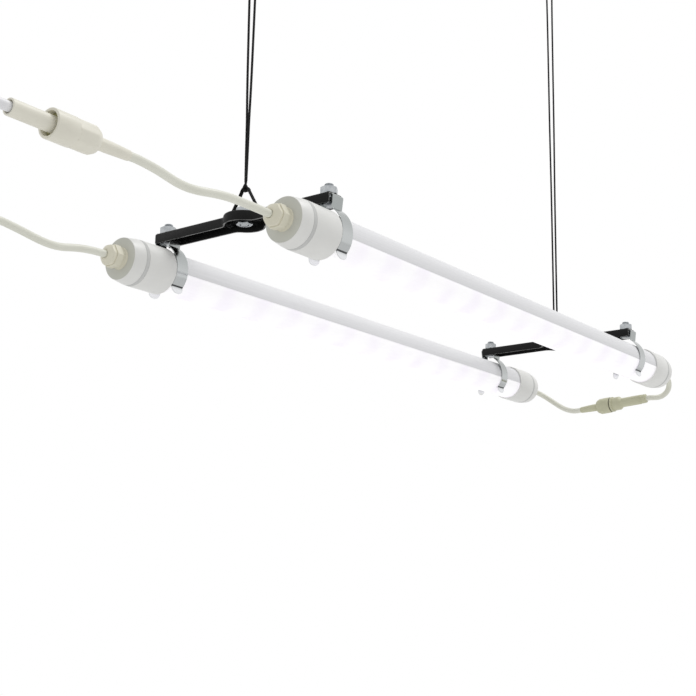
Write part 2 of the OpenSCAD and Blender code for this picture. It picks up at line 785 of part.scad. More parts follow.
// The end ring of a plug half, down to the axis
function plug_tail(end) = [[plug_d / 2, end - 6], [plug_d / 2 + 0.5, end - 6],
  [plug_d / 2 + 0.5, end - 1], [plug_d / 2 - 0.5, end], [0, end]];

// A plug that only closes the nut, with a grip disc
module dust_plug(tail_l, nut_d, nut_l) {
  start = tail_l + back_t + nose_l + mate_gap;
  nut_end = tail_l + nut_l;
  thread_r = nut_d / 2 - nut_wall - running;
  grip_r = nut_d / 2 - 0.4;
  color("#c9c8bb") rotate_extrude() polygon([[0, start], [thread_r, start],
    [thread_r, nut_end + 1], [grip_r, nut_end + 1], [grip_r, nut_end + 4],
    [grip_r - 1, nut_end + 5], [0, nut_end + 5]]);
}

// Where each connector's tail begins and which way it points
module at_connector_b() {
  translate(lead_b_route[len(lead_b_route) - 1]) rotate([0, -90, 0]) children();
}

module at_connector_a() {
  translate(lead_a_route[len(lead_a_route) - 1]) rotate([0, -90, 0]) children();
}

link_tilt = 4;     // the link connector rises by this towards tube B, in degrees

module at_link() {
  translate(link_a_route[len(link_a_route) - 1]) rotate([90 - link_tilt, 0, 0]) children();
}

module lead(points, d) {
  color("#dedfd2") swept(points, d, 12);
}

// A flat two-pin plug with a ribbed grip
module mains_plug() {
  body_w = 26;
  body_h = 14;
  pin_pitch = 19;
  grip_l = 8;
  body_end = 34;
  color("#e8e8eb") translate(supply_route[len(supply_route) - 1]) rotate([0, -90, 0]) {
    cylinder(r1 = supply_d / 2 + 1, r2 = supply_d / 2 + 2.4, h = grip_l + overlap);
    translate([0, 0, grip_l]) linear_extrude(body_end - grip_l) {
      square([body_h, body_w - body_h], center = true);
      for (s = [-1, 1]) translate([0, s * (body_w - body_h) / 2]) circle(d = body_h);
    }
    for (s = [-1, 1]) translate([0, s * pin_pitch / 2, body_end - overlap]) {
      cylinder(d = 4, h = 18);
      translate([0, 0, 18]) sphere(d = 4, $fn = 32);
    }
  }
}

// ---------- the model ----------

hook(0);  // hook_front
hook(arm_pitch);  // hook_rear
rope_bends();
strand(0, 1, front_strand);  // rope_front_a
strand(0, -1, front_strand);  // rope_front_b
strand(arm_pitch, 1, rear_strand);  // rope_rear_a
strand(arm_pitch, -1, rear_strand);  // rope_rear_b
sling(0);  // sling_front
sling(arm_pitch);  // sling_rear
sling_knots();
stopper_knots();
arm(0);  // arm_front
arm(arm_pitch);  // arm_rear
hub_bolts();
hub_washers();
hub_nuts();
clip(0, 1);  // clip_front_a
clip(0, -1);  // clip_front_b
clip(arm_pitch, 1);  // clip_rear_a
clip(arm_pitch, -1);  // clip_rear_b
clip_bolts();
clip_washers();
clip_nuts();
heat_sink(1);  // heat_sink_a
diffuser(1);  // diffuser_a
led_board(1);  // led_board_a
led_chips(1);  // led_chips_a
driver(1);  // driver_a
cap_near(1);  // cap_near_a
cap_far(1);  // cap_far_a
seals(1);  // seals_a
glands(1);  // glands_a
gland_nuts(1);  // gland_nuts_a
heat_sink(-1);  // heat_sink_b
diffuser(-1);  // diffuser_b
led_board(-1);  // led_board_b
led_chips(-1);  // led_chips_b
driver(-1);  // driver_b
cap_near(-1);  // cap_near_b
cap_far(-1);  // cap_far_b
seals(-1);  // seals_b
glands(-1);  // glands_b
gland_nuts(-1);  // gland_nuts_b
lead(lead_a_route, lead_d);  // lead_a
lead(lead_b_route, lead_d);  // lead_b
lead(link_a_route, lead_d);  // link_lead_a
lead(link_b_route, lead_d);  // link_lead_b
lead(supply_route, supply_d);  // supply_cable
at_connector_b() socket_half(long_tail_l, long_nut_d);  // socket_b
at_connector_b() coupling_nut(long_tail_l, long_nut_d, long_nut_l);  // coupling_nut_b
at_connector_b() slim_plug(long_tail_l, long_nut_d, long_nut_l, long_plug_l);  // plug_b
at_link() socket_half(short_tail_l, short_nut_d);  // socket_link
at_link() coupling_nut(short_tail_l, short_nut_d, short_nut_l);  // coupling_nut_link
at_link() collared_plug(short_tail_l, short_nut_d, short_nut_l, short_plug_l);  // plug_link
at_connector_a() socket_half(short_tail_l, short_nut_d);  // socket_a
at_connector_a() coupling_nut(short_tail_l, short_nut_d, short_nut_l);  // coupling_nut_a
at_connector_a() dust_plug(short_tail_l, short_nut_d, short_nut_l);  // dust_plug_a
mains_plug();
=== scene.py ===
"""Looks of a hanging shop light: two sealed LED tubes in spring clips under black channel
arms, on doubled ropes from two ceiling hooks.

Shapes are drawn in millimetres in the part's own frame: X along the tubes from the supply end
to the linked end, Y from tube B to tube A, Z up, with the ceiling at height 0. A piece that is
turned or drawn out is drawn along X and then placed.
"""

import math

import bmesh
import bpy
from mathutils import Matrix, Vector


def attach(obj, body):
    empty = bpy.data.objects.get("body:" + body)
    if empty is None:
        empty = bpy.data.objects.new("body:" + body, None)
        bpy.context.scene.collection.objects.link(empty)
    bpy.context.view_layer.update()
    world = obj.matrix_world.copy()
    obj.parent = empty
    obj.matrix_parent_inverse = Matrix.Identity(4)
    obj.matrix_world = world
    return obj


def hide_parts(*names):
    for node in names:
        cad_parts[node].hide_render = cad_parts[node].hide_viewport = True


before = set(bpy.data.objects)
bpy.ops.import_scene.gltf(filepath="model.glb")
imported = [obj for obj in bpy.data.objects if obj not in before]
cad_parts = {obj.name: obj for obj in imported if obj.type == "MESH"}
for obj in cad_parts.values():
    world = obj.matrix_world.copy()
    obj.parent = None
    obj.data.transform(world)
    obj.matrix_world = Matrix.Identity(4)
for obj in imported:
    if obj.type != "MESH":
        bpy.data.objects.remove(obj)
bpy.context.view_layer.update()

MM = 0.001
UP = (0, 0, 1)
DOWN = (0, 0, -1)
MERGE = 1e-4  # points nearer than this are one

# Where things are, in millimetres
NEAR_X = -54.0  # near end faces of the tubes
FAR_X = 636.0  # far end faces
ENDS = {"front": 0.0, "rear": 550.0}  # the arms, with their ropes and hooks
TUBE_Y = 91.0  # tube A; tube B is at minus this
SIDES = {"a": 1, "b": -1}
AXIS_Z = -540.0  # both tubes' axes
ARM_TOP = -504.5
TUBE_R = 19.0
FOLD_Z = -554.2  # where the clips' lips fold out under the tubes


def new_object(name, data):
    made = bpy.data.objects.new(name, data)
    bpy.context.collection.objects.link(made)
    return made


# ---- camera

IMAGE = 696.0  # the photograph's frame, in pixels each way
FOCAL_PX = 1234.519
CENTRE_PX = (392.362, 366.753)  # where the lens axis meets the picture
CAMERA_AT = (-733.04, -683.72, -844.15)
PITCH, YAW, ROLL = (math.radians(a) for a in (11.961, 35.788, -0.509))


def set_camera():
    level = math.cos(PITCH)
    ahead = Vector((level * math.cos(YAW), level * math.sin(YAW), math.sin(PITCH)))
    level_right = Vector((math.sin(YAW), -math.cos(YAW), 0))
    level_down = ahead.cross(level_right)
    right = level_right * math.cos(ROLL) + level_down * math.sin(ROLL)
    down = level_down * math.cos(ROLL) - level_right * math.sin(ROLL)
    data = bpy.data.cameras.new("photo_camera")
    data.sensor_width = 36
    data.lens = FOCAL_PX * data.sensor_width / IMAGE
    data.shift_x = (IMAGE / 2 - CENTRE_PX[0]) / IMAGE
    data.shift_y = (CENTRE_PX[1] - IMAGE / 2) / IMAGE
    data.clip_end = 50
    camera = new_object("photo_camera", data)
    turn = Matrix((right, -down, -ahead)).transposed().to_4x4()
    camera.matrix_world = Matrix.Translation(Vector(CAMERA_AT) * MM) @ turn
    bpy.context.scene.camera = camera


set_camera()


# ---- materials


def linear(hex_colour):
    """sRGB hex to the linear colour that the shader takes."""
    parts = [int(hex_colour[i : i + 2], 16) / 255 for i in (1, 3, 5)]
    curve = (p / 12.92 if p <= 0.04045 else ((p + 0.055) / 1.055) ** 2.4 for p in parts)
    return (*curve, 1)


def add(tree, kind, output, inputs=None, **settings):
    """Adds a shader node and gives one of its outputs. An input is a value, or another
    node's output to link."""
    made = tree.nodes.new("ShaderNode" + kind)
    for name, value in settings.items():
        setattr(made, name, value)
    for socket, value in (inputs or {}).items():
        if isinstance(value, bpy.types.NodeSocket):
            tree.links.new(value, made.inputs[socket])
        else:
            made.inputs[socket].default_value = value
    return made.outputs[output]


def material(name, **sockets):
    """A new material with its Principled shader's own values set."""
    made = bpy.data.materials.new(name)
    made.use_nodes = True
    shader = made.node_tree.nodes["Principled BSDF"]
    for socket, value in sockets.items():
        shader.inputs[socket.replace("_", " ")].default_value = value
    return made, made.node_tree, shader


def object_mm(tree, stretch=(1, 1, 1)):
    """Object coordinates, counted in millimetres and then stretched."""
    place = add(tree, "TexCoord", "Object")
    scale = [s / MM for s in stretch]
    return add(tree, "Mapping", "Vector", {"Vector": place, "Scale": scale})


def blotches(tree, size, detail=2.0, stretch=(1, 1, 1)):
    """Noise whose blotches are about size millimetres across before they are stretched."""
    place = object_mm(tree, stretch)
    inputs = {"Vector": place, "Scale": 1 / size, "Detail": detail, "Roughness": 0.55}
    return add(tree, "TexNoise", "Fac", inputs)


def dress(shader, colour=None, roughness=None, bump=None, glow=None, turns=(0.35, 0.65)):
    """Drives the shader by patterns. Colour and glow are (pattern, low, high), and turn
    from low to high over a part of the pattern. Roughness is (pattern, low, high) too, and
    bump is (pattern, full depth in millimetres, strength)."""
    tree = shader.id_data
    for socket, tones in (("Base Color", colour), ("Emission Color", glow)):
        if tones:
            toned = add(tree, "ValToRGB", "Color", {"Fac": tones[0]})
            for stop, at, tone in zip(toned.node.color_ramp.elements, turns, tones[1:]):
                stop.position = at
                stop.color = linear(tone)
            tree.links.new(toned, shader.inputs[socket])
    if roughness:
        pattern, low, high = roughness
        inputs = {"Value": pattern, "To Min": low, "To Max": high}
        varied = add(tree, "MapRange", "Result", inputs)
        tree.links.new(varied, shader.inputs["Roughness"])
    if bump:
        height, depth, strength = bump
        inputs = {"Height": height, "Distance": depth * MM, "Strength": strength}
        tree.links.new(add(tree, "Bump", "Normal", inputs), shader.inputs["Normal"])


def moulded(name, low, high, roughness, grain, ior=1.5, depth=0.02):
    """Injection-moulded plastic: spark-eroded grain and faint colour drift."""
    made, tree, shader = material(name, IOR=ior)
    dress(
        shader,
        colour=(blotches(tree, 30), low, high),
        roughness=(blotches(tree, 6), roughness - 0.05, roughness + 0.05),
        bump=(blotches(tree, grain, 3), depth, 0.5),
    )
    return made


def painted_aluminium():
    """Extruded aluminium, painted pale grey: an even satin coat over the faint lines that
    the die leaves along its length."""
    made, tree, shader = material("pale grey painted aluminium extrusion")
    lines = blotches(tree, 0.5, 3, (0.004, 1, 1))
    dress(shader, (lines, "#E9E9EB", "#EFEFF1"), (lines, 0.45, 0.55), (lines, 0.01, 0.3))
    return made


def opal_diffuser():
    """Opal polycarbonate lit from inside: near white all over, with the LED chips just
    showing as soft, uneven, cooler patches every 44 mm."""
    made, tree, shader = material(
        "opal polycarbonate", IOR=1.58, Roughness=0.32, Emission_Strength=0.27
    )
    # 0.314 is the length of the texture's own wave at a scale of 1
    bands = {"Scale": 0.314 / 44, "Distortion": 1.2, "Detail Scale": 0.02}
    bands["Vector"] = object_mm(tree)
    chips = add(tree, "TexWave", "Fac", bands, wave_type="BANDS", bands_direction="X")
    uneven = blotches(tree, 26, 1, (1, 1.5, 1.5))
    patches = add(tree, "Math", "Value", {0: chips, 1: uneven}, operation="MULTIPLY")
    dress(
        shader,
        colour=(patches, "#FBFAFC", "#F6F3FB"),
        bump=(blotches(tree, 0.4), 0.01, 0.3),
        glow=(patches, "#FFFEFF", "#FAF4FA"),
        turns=(0.15, 0.6),
    )
    return made


def powder_coat():
    """Black powder coat on steel sheet: a fine orange-peel skin, satin."""
    made, tree, shader = material("black powder coat", Specular_IOR_Level=0.2)
    dress(
        shader,
        colour=(blotches(tree, 14), "#070707", "#0B0B0B"),
        roughness=(blotches(tree, 3), 0.5, 0.62),
        bump=(blotches(tree, 0.7), 0.05, 0.5),
    )
    return made


def painted_edge_highlight():
    """The sheared lower edges of the channel, grey: a painted highlight where the thin edges
    of the sheet catch the light.
    """
    made, tree, shader = material("rubbed sheet edge", Metallic=0.6)
    along = (1, 0.2, 1)
    dress(
        shader,
        colour=(blotches(tree, 3, stretch=along), "#4A4A4A", "#8C8C8A"),
        roughness=(blotches(tree, 1, stretch=along), 0.4, 0.6),
    )
    return made


def spring_strip():
    """Cold-rolled spring steel strip: fine rolling lines along the strip, grey, darker from
    the axis up the legs by a painted reflection of the dark arm, paler round the tube, lighter
    on the lips that the tube snaps past by a painted highlight, and a line of painted shade in
    their folds."""
    made, tree, shader = material("bright spring steel strip", Metallic=1.0)
    height = add(tree, "SeparateXYZ", "Z", {"Vector": object_mm(tree)})
    # Darker above the axis: painted reflection of the arm. Lighter under the fold: painted
    # highlight. At the fold: painted shade.
    painted_arm_reflection, painted_highlight = (
        add(tree, "MapRange", "Result", {"Value": height, "From Min": low, "From Max": high})
        for low, high in ((AXIS_Z - 1, AXIS_Z + 14), (FOLD_Z, FOLD_Z - 3))
    )
    near_fold = {0: height, 1: FOLD_Z, 2: 0.7}
    painted_fold_shade = add(tree, "Math", "Value", near_fold, operation="COMPARE")
    tone = linear("#C0C3C3")
    for where, over in ((painted_arm_reflection, "#A4A8A7"), (painted_highlight, "#E4E5E7"), (painted_fold_shade, "#4C4D4E")):
        mixed = {"Fac": where, "Color1": tone, "Color2": linear(over)}
        tone = add(tree, "MixRGB", "Color", mixed)
    tree.links.new(tone, shader.inputs["Base Color"])
    lines = blotches(tree, 0.35, 3, (1, 0.02, 0.02))
    dress(shader, roughness=(lines, 0.14, 0.22), bump=(lines, 0.006, 0.25))
    return made


def plated(name, low, high, roughness):
    """Bright plating on turned, forged or bent metal: slightly cloudy."""
    made, tree, shader = material(name, Metallic=1.0)
    dress(
        shader,
        colour=(blotches(tree, 4), low, high),
        roughness=(blotches(tree, 1.2), roughness - 0.06, roughness + 0.1),
        bump=(blotches(tree, 0.5, 3), 0.02, 0.4),
    )
    return made


def laid_polyester():
    """Black polyester cord: the fine crossed strands of its yarns, four each way round it,
    which turn once in 6 mm. The yarns themselves are in its shape."""
    made, tree, shader = material(
        "black laid polyester", Roughness=0.7, Specular_IOR_Level=0.2
    )
    # U runs once round the cord, V counts millimetres along it
    split = {"Vector": add(tree, "UVMap", "UV")}
    around = add(tree, "SeparateXYZ", "X", split)
    along = around.node.outputs["Y"]
    waves = []
    for lay in (1, -1):
        turn = add(tree, "Math", "Value", {0: around, 1: 4.0 * lay}, operation="MULTIPLY")
        strands = {0: along, 1: 1 / 1.5, 2: turn}
        phase = add(tree, "Math", "Value", strands, operation="MULTIPLY_ADD")
        angle = add(tree, "Math", "Value", {0: phase, 1: math.tau}, operation="MULTIPLY")
        waves.append(add(tree, "Math", "Value", {0: angle}, operation="SINE"))
    weave = add(tree, "Math", "Value", dict(enumerate(waves)), operation="MULTIPLY")
    half = {0: weave, 1: 0.5, 2: 0.5}
    height = add(tree, "Math", "Value", half, operation="MULTIPLY_ADD")
    # The crowns of the strands are lighter and the hollows between them darker: painted
    # highlight and painted shade.
    dress(
        shader,
        colour=(height, "#060606", "#1B1B1C"),
        bump=(height, 0.25, 0.8),
        turns=(0.2, 0.8),
    )
    return made


def circuit_board(name, low, high):
    """Glass-fibre board under solder mask: glossy, with faint copper tracks."""
    made, tree, shader = material(name, Roughness=0.35)
    bricks = {"Vector": object_mm(tree), "Scale": 0.12, "Mortar Size": 0.04}
    tracks = add(tree, "TexBrick", "Fac", bricks)
    dress(shader, (tracks, low, high), bump=(tracks, 0.05, 0.5))
    return made


def phosphor():
    """The yellow phosphor over an LED chip."""
    made, tree, shader = material(
        "yellow phosphor",
        Roughness=0.5,
        Emission_Color=linear("#FFF6DC"),
        Emission_Strength=1.0,
    )
    dress(shader, (blotches(tree, 1), "#EBD55C", "#F2E17C"))
    return made


ALUMINIUM = painted_aluminium()
DIFFUSER = opal_diffuser()
BLACK_COAT = powder_coat()
PAINTED_EDGE_HIGHLIGHT = painted_edge_highlight()
STRIP_STEEL = spring_strip()
ZINC = plated("bright zinc plate", "#A3A7AA", "#BABDBF", 0.26)
HOOK_ZINC = plated("zinc plated wire", "#AFB2B5", "#C2C4C6", 0.34)
BRASS = plated("nickelled brass pins", "#C9BE9C", "#D8CFAF", 0.25)
CORD = laid_polyester()
# ABS, moulded with a light spark grain: the caps
CAP_ABS = moulded("white moulded ABS", "#E6E6E3", "#EBEBE8", 0.42, 0.8)
# EPDM ring: soft, dull grey
SEAL_RUBBER = moulded("grey EPDM rubber", "#C9CAC8", "#D0D1CF", 0.7, 0.6, depth=0.03)
# The plate that closes the cap, greyer than the glands: its cream darkened by painted shade
SHADED_FACE_NYLON = moulded("cream end plate with painted shade", "#C9CAC1", "#CFD0C7", 0.45, 0.7)
# Nylon 66, a warm cream: glands and their nuts
GLAND_NYLON = moulded("cream nylon", "#DFDBC7", "#E5E1CE", 0.4, 0.7, 1.53)
# Nylon again, a little paler: the supply connectors
CONNECTOR_NYLON = moulded("cream connector nylon", "#E6E3D5", "#ECE9DB", 0.45, 0.7, 1.53)
# The link's connector: the same nylon, darker and yellower by painted shade
SHADED_LINK_NYLON = moulded("connector nylon with painted shade", "#C6C5A8", "#CCCBAE", 0.45, 0.7, 1.53)
# Plasticised PVC: smooth, soft sheen
LEAD_PVC = moulded("cream PVC jacket", "#E2E2D5", "#E8E8DC", 0.38, 1.5, 1.53)
WHITE_PVC = moulded("white PVC jacket", "#E9E9EC", "#EFEFF1", 0.38, 1.5, 1.53)
# Ring inside the long coupling nut's mouth, olive: painted shade in the mouth
OLIVE_MOUTH_SHADE = moulded("olive ring with painted shade", "#A9A67A", "#B5B286", 0.5, 0.6, 1.41)
# Dark ring between nut and plug: painted shade in the gap between them
DARK_GAP_SHADE = moulded("dark ring with painted shade", "#2A2218", "#352B1F", 0.6, 0.6)
BOARD_WHITE = circuit_board("white solder mask", "#E4E6E0", "#EEF0EA")
BOARD_GREEN = circuit_board("green solder mask", "#1F5E37", "#2C7546")
PHOSPHOR = phosphor()


# ---- drawing


def polar(radius, angle):
    return radius * math.cos(angle), radius * math.sin(angle)


def outwards(bm):
    """Points the faces outwards."""
    bmesh.ops.recalc_face_normals(bm, faces=bm.faces)


def rounded(points, closed=False):
    """A chain of (along, out, fillet) corners with each corner rounded off."""
    chain = [Vector(p[:2]) for p in points]
    count = len(chain)
    drawn = []
    for i, corner in enumerate(chain):
        fillet = points[i][2] if len(points[i]) > 2 else 0
        inside = closed or 0 < i < count - 1
        if not fillet or not inside:
            drawn.append(corner)
            continue
        back = (chain[i - 1] - corner).normalized()
        on = (chain[(i + 1) % count] - corner).normalized()
        half = back.angle(on) / 2
        reach = fillet / math.tan(half)
        centre = corner + (back + on).normalized() * (fillet / math.sin(half))
        start = corner + back * reach - centre
        turn = math.pi - 2 * half
        way = 1 if back.x * on.y - back.y * on.x < 0 else -1
        steps = max(2, round(math.degrees(turn) / 18))
        for k in range(steps + 1):
            a = way * turn * k / steps
            x = start.x * math.cos(a) - start.y * math.sin(a)
            y = start.x * math.sin(a) + start.y * math.cos(a)
            drawn.append(centre + Vector((x, y)))
    return [(p.x, p.y) for p in drawn]


def turned(profile, closed=False, segments=72):
    """Turns a profile of (along, radius, fillet) corners about the X axis."""
    bm = bmesh.new()
    chain = [bm.verts.new((x, 0, r)) for x, r in rounded(profile, closed)]
    if closed:
        chain.append(chain[0])
    edges = [bm.edges.new(pair) for pair in zip(chain, chain[1:])]
    bmesh.ops.spin(
        bm, geom=bm.verts[:] + edges, cent=(0, 0, 0), axis=(1, 0, 0), angle=math.tau,
        steps=segments, use_merge=True,
    )
    bmesh.ops.remove_doubles(bm, verts=bm.verts, dist=MERGE)
    outwards(bm)
    return bm


def bevelled(bm, edges, offset, segments):
    bmesh.ops.bevel(
        bm, geom=edges, offset=offset, segments=segments, affect="EDGES", profile=0.5,
        material=-1,
    )


def cut_flats(bm, across, count, first, soften=0.0):
    """Planes off flats round the X axis, as on a nut. The first flat's angle is in degrees
    from +Y, and soften rounds the long edges between the flats."""
    for k in range(count):
        a = math.radians(first) + math.tau * k / count
        out = Vector((0, *polar(1, a)))
        cut = bmesh.ops.bisect_plane(
            bm,
            geom=bm.verts[:] + bm.edges[:] + bm.faces[:],
            dist=1e-5,
            plane_co=out * across / 2,
            plane_no=out,
            clear_outer=True,
        )
        rim = [e for e in cut["geom_cut"] if isinstance(e, bmesh.types.BMEdge)]
        if rim:
            bmesh.ops.contextual_create(bm, geom=rim)
    outwards(bm)
    if soften:
        ridges = [
            e
            for e in bm.edges
            if len(e.link_faces) == 2
            and e.calc_face_angle() > math.radians(20)
            and abs((e.verts[0].co - e.verts[1].co).normalized().x) > 0.9
        ]
        bevelled(bm, ridges, soften, 2)
    return bm


def shift(bm, vec, verts=None):
    bmesh.ops.translate(bm, verts=verts or bm.verts, vec=vec)


def new_points(grown):
    """The points among what an operator made."""
    return [v for v in grown["geom"] if isinstance(v, bmesh.types.BMVert)]


def drawn_out(outline, length):
    """A section of (y, z) points drawn out along X from 0."""
    bm = bmesh.new()
    face = bm.faces.new([bm.verts.new((0, y, z)) for y, z in outline])
    grown = bmesh.ops.extrude_face_region(bm, geom=[face], use_keep_orig=True)
    shift(bm, (length, 0, 0), new_points(grown))
    outwards(bm)
    return bm


def bent(section, steps, start, heading, step_angle=6.0):
    """Feeds a flat section through straights [length, 0] and bends [radius, degrees],
    in the plane X = 0, with a positive bend to the left seen from +X."""
    bm = bmesh.new()
    along = math.radians(heading)
    at = Vector((0, *start))

    def left():
        return Vector((0, -math.sin(along), math.cos(along)))

    corners = [at + Vector((w, 0, 0)) + left() * h for w, h in section]
    face = bm.faces.new([bm.verts.new(corner) for corner in corners])
    for size, angle in steps:
        if not angle:
            ahead = Vector((0, *polar(1, along)))
            grown = bmesh.ops.extrude_face_region(bm, geom=[face])
            shift(bm, ahead * size, new_points(grown))
            at = at + ahead * size
            last = grown["geom"]
        else:
            centre = at + left() * size * math.copysign(1, angle)
            turn = math.radians(angle)
            last = bmesh.ops.spin(
                bm,
                geom=[face, *face.edges, *face.verts],
                cent=centre,
                axis=(1, 0, 0),
                angle=turn,
                steps=max(2, round(abs(angle) / step_angle)),
            )["geom_last"]
            at = centre + Matrix.Rotation(turn, 3, "X") @ (at - centre)
            along += turn
        face = next(f for f in last if isinstance(f, bmesh.types.BMFace))
    bmesh.ops.remove_doubles(bm, verts=bm.verts, dist=MERGE)
    outwards(bm)
    return bm


def joined(*parts):
    """Several drawings as one; the later ones are used up."""
    first, *rest = parts
    for bm in rest:
        held = bpy.data.meshes.new("held")
        bm.to_mesh(held)
        bm.free()
        first.from_mesh(held)
        bpy.data.meshes.remove(held)
    return first


def placed(bm, at, ahead=(1, 0, 0)):
    """Moves a drawing so that its X axis points ahead from a point."""
    ahead = Vector(ahead).normalized()
    if ahead.x < -0.9999:
        turn = Matrix.Rotation(math.pi, 4, "Z")
    else:
        turn = Vector((1, 0, 0)).rotation_difference(ahead).to_matrix().to_4x4()
    bm.transform(Matrix.Translation(Vector(at)) @ turn)
    return bm


def limit_bevel(obj, name, width, angle):
    """Softens the edges that are sharper than an angle in degrees."""
    edge = obj.modifiers.new(name, "BEVEL")
    edge.width = width * MM
    edge.segments = 2
    edge.limit_method = "ANGLE"
    edge.angle_limit = math.radians(angle)
    return edge


def piece(name, bm, finish, node=None, body="light", sharp=32.0):
    """Makes the drawing a piece that rides on a body and stands for a node."""
    bmesh.ops.scale(bm, vec=(MM, MM, MM), verts=bm.verts)
    mesh = bpy.data.meshes.new(name)
    bm.to_mesh(mesh)
    bm.free()
    for one in finish if isinstance(finish, list) else [finish]:
        mesh.materials.append(one)
    mesh.polygons.foreach_set("use_smooth", [True] * len(mesh.polygons))
    mesh.set_sharp_from_angle(angle=math.radians(sharp))
    obj = new_object(name, mesh)
    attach(obj, body)
    if node:
        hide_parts(node)
    return obj


# ---- cords


def smooth_route(points, spacing):
    """A smooth curve through the route's points, with a ring about every spacing."""
    points = [Vector(p) for p in points]
    ends = [points[0] * 2 - points[1], *points, points[-1] * 2 - points[-2]]
    drawn = []
    for i in range(len(points) - 1):
        p0, p1, p2, p3 = ends[i : i + 4]
        count = max(1, round((p2 - p1).length / spacing))
        for k in range(count):
            t = k / count
            speed = (p2 - p0) * t
            bow = (2 * p0 - 5 * p1 + 4 * p2 - p3) * t * t
            twist = (3 * p1 - 3 * p2 + p3 - p0) * t * t * t
            drawn.append(0.5 * (2 * p1 + speed + bow + twist))
    drawn.append(points[-1])
    return drawn


def tube(centres, radius, sides, first_side=(1, 0, 0)):
    """A round tube through ring centres, with U round it and V along it in millimetres."""
    bm = bmesh.new()
    uv = bm.loops.layers.uv.new("UVMap")
    side = Vector(first_side)
    rings = []
    run = [0.0]
    for i, centre in enumerate(centres):
        back = centres[max(i - 1, 0)]
        ahead = (centres[min(i + 1, len(centres) - 1)] - back).normalized()
        side = (side - ahead * side.dot(ahead)).normalized()
        across = ahead.cross(side)
        angles = [math.tau * k / sides for k in range(sides)]
        spokes = [radius * (side * math.cos(a) + across * math.sin(a)) for a in angles]
        rings.append([bm.verts.new(centre + spoke) for spoke in spokes])
        if i:
            run.append(run[-1] + (centre - centres[i - 1]).length)
    for i in range(len(rings) - 1):
        for k in range(sides):
            corners = [(k, i), (k + 1, i), (k + 1, i + 1), (k, i + 1)]
            face = bm.faces.new([rings[v][u % sides] for u, v in corners])
            for loop, (u, v) in zip(face.loops, corners):
                loop[uv].uv = (u / sides, run[v])
    bm.faces.new(list(reversed(rings[0])))
    bm.faces.new(rings[-1])
    outwards(bm)
    return bm


CORD_SIDES = 12
YARNS = 3
YARN_LAY = 8.4  # the yarns turn once round the cord in this length
HOLLOW = 0.1  # how deep the cord falls between its yarns, as a part of its radius


def laid_cord(centres, radius):
    """A cord laid from yarns, whose section turns along it."""
    bm = tube(centres, radius, CORD_SIDES)
    run = 0.0
    bm.verts.ensure_lookup_table()
    for i, centre in enumerate(centres):
        if i:
            run += (centre - centres[i - 1]).length
        for k in range(CORD_SIDES):
            a = math.tau * (k / CORD_SIDES + run / YARN_LAY)
            hollow = HOLLOW * (0.5 - 0.5 * math.cos(YARNS * a)) ** 2
            vert = bm.verts[i * CORD_SIDES + k]
            vert.co = centre + (vert.co - centre) * (1 - hollow)
    return bm


LEAD_D = 6.4
SUPPLY_D = 6.8
ROPE_D = 2.2
SLING_D = 1.8


def from_end(x, side, points):
    """A lead's points, counted from the middle of the end face that it leaves."""
    return [(x + px, side * TUBE_Y + py, AXIS_Z + pz) for px, py, pz in points]


# The routes of the source
LEAD_B = from_end(NEAR_X, -1, [
    (-13, 0, 0), (-21, 0, 0), (-31, 0, 0.1), (-41, -0.2, 0), (-51, -0.5, -0.2),
    (-61, -0.6, -0.6), (-71, -0.2, -1.4), (-81, 0.6, -2.6), (-91, 1.2, -4),
    (-101, 1.2, -4.8), (-111, 0.8, -4.6), (-121, 0.2, -3.4), (-131, -0.1, -1.8),
    (-141, 0, -0.6), (-149, 0, 0), (-157, 0, 0),
])
LEAD_A = from_end(NEAR_X, 1, [
    (-13, 0, 0), (-17, 0, 0), (-23, 0, -0.3), (-31, 0.2, -0.6), (-41, 0.5, -1.6),
    (-51, 0.6, -3.4), (-61, 0.2, -5.6), (-71, -0.2, -6.6), (-81, -0.4, -6.2),
    (-91, -0.4, -4.8), (-101, -0.2, -3), (-111, 0, -1.4), (-121, 0, -0.2),
    (-129, 0, 0), (-137, 0, 0),
])
LINK_A = from_end(FAR_X, 1, [
    (13, 0, 0), (18, 0, 0), (25, -1.5, -1), (31, -6, -4), (35, -13, -9), (37, -21, -15),
    (37, -29, -20.5), (36, -37, -25), (34, -45, -28), (32, -52.5, -29.8),
    (31, -59.01, -30.079), (31, -63, -29.8),
])
LINK_B = from_end(FAR_X, -1, [
    (13, 0, 0), (18, 0, 0), (25, 0, -0.8), (32, 0.6, -3), (38, 2, -7), (41.5, 4.4, -12),
    (42, 8, -17), (39.5, 12.5, -21), (36, 16.7, -22.8), (32.6, 21.2, -23.2),
    (31, 25.23, -23.243), (31, 29.215, -23.522),
])
SUPPLY = [(x, -91, -540) for x in (-304, -311, -320, -330, -340, -348)]
# A strand's offsets along and across the light, and its height
STRANDS = {
    "front": [
        (0.6, 0.97, -473.7), (0.5, 1.03, -465), (0.3, 1.15, -447), (0.05, 1.27, -420),
        (0, 2, -393), (0, 2.5, -366), (0, 3.2, -314), (0, 3.6, -275), (0, 3.8, -220),
        (0, 3.8, -150), (0, 3.7, -90), (0, 3.6, -55), (0, 3.6, -40.3),
    ],
    "rear": [
        (0, 2, -473.7), (0, 2.1, -465), (0, 2.2, -392), (0, 2.4, -316), (0, 2.9, -240),
        (0, 3.1, -165), (0, 3.3, -93), (0, 3.6, -55), (0, 3.6, -40.3),
    ],
}
# Half of a sling, across the light and up
SLING_HALF = [
    (17, -511.5), (17, -508), (17, -505.5), (16.8, -504), (15.9, -502.2),
    (13.2, -497.7), (10.2, -492.7), (7.2, -487.7), (4.7, -483.5), (3.6, -481.1),
    (2.1, -479.6),
]
SLING_TOP = (0, -479.1)
SLING_SPAN = 17.0  # from the middle of the arm to each of the sling's holes
SLING_APART = 0.95  # from the middle of a sling to each of its two cords
KNOT_Z = -481.6  # the knots under the slings' tops
STOPPER_Z = -508.7  # the knots that hold the slings under the arms' sheet
HOOK_WIRE_Z = -40.0
ROPE_BEND_R = 3.6


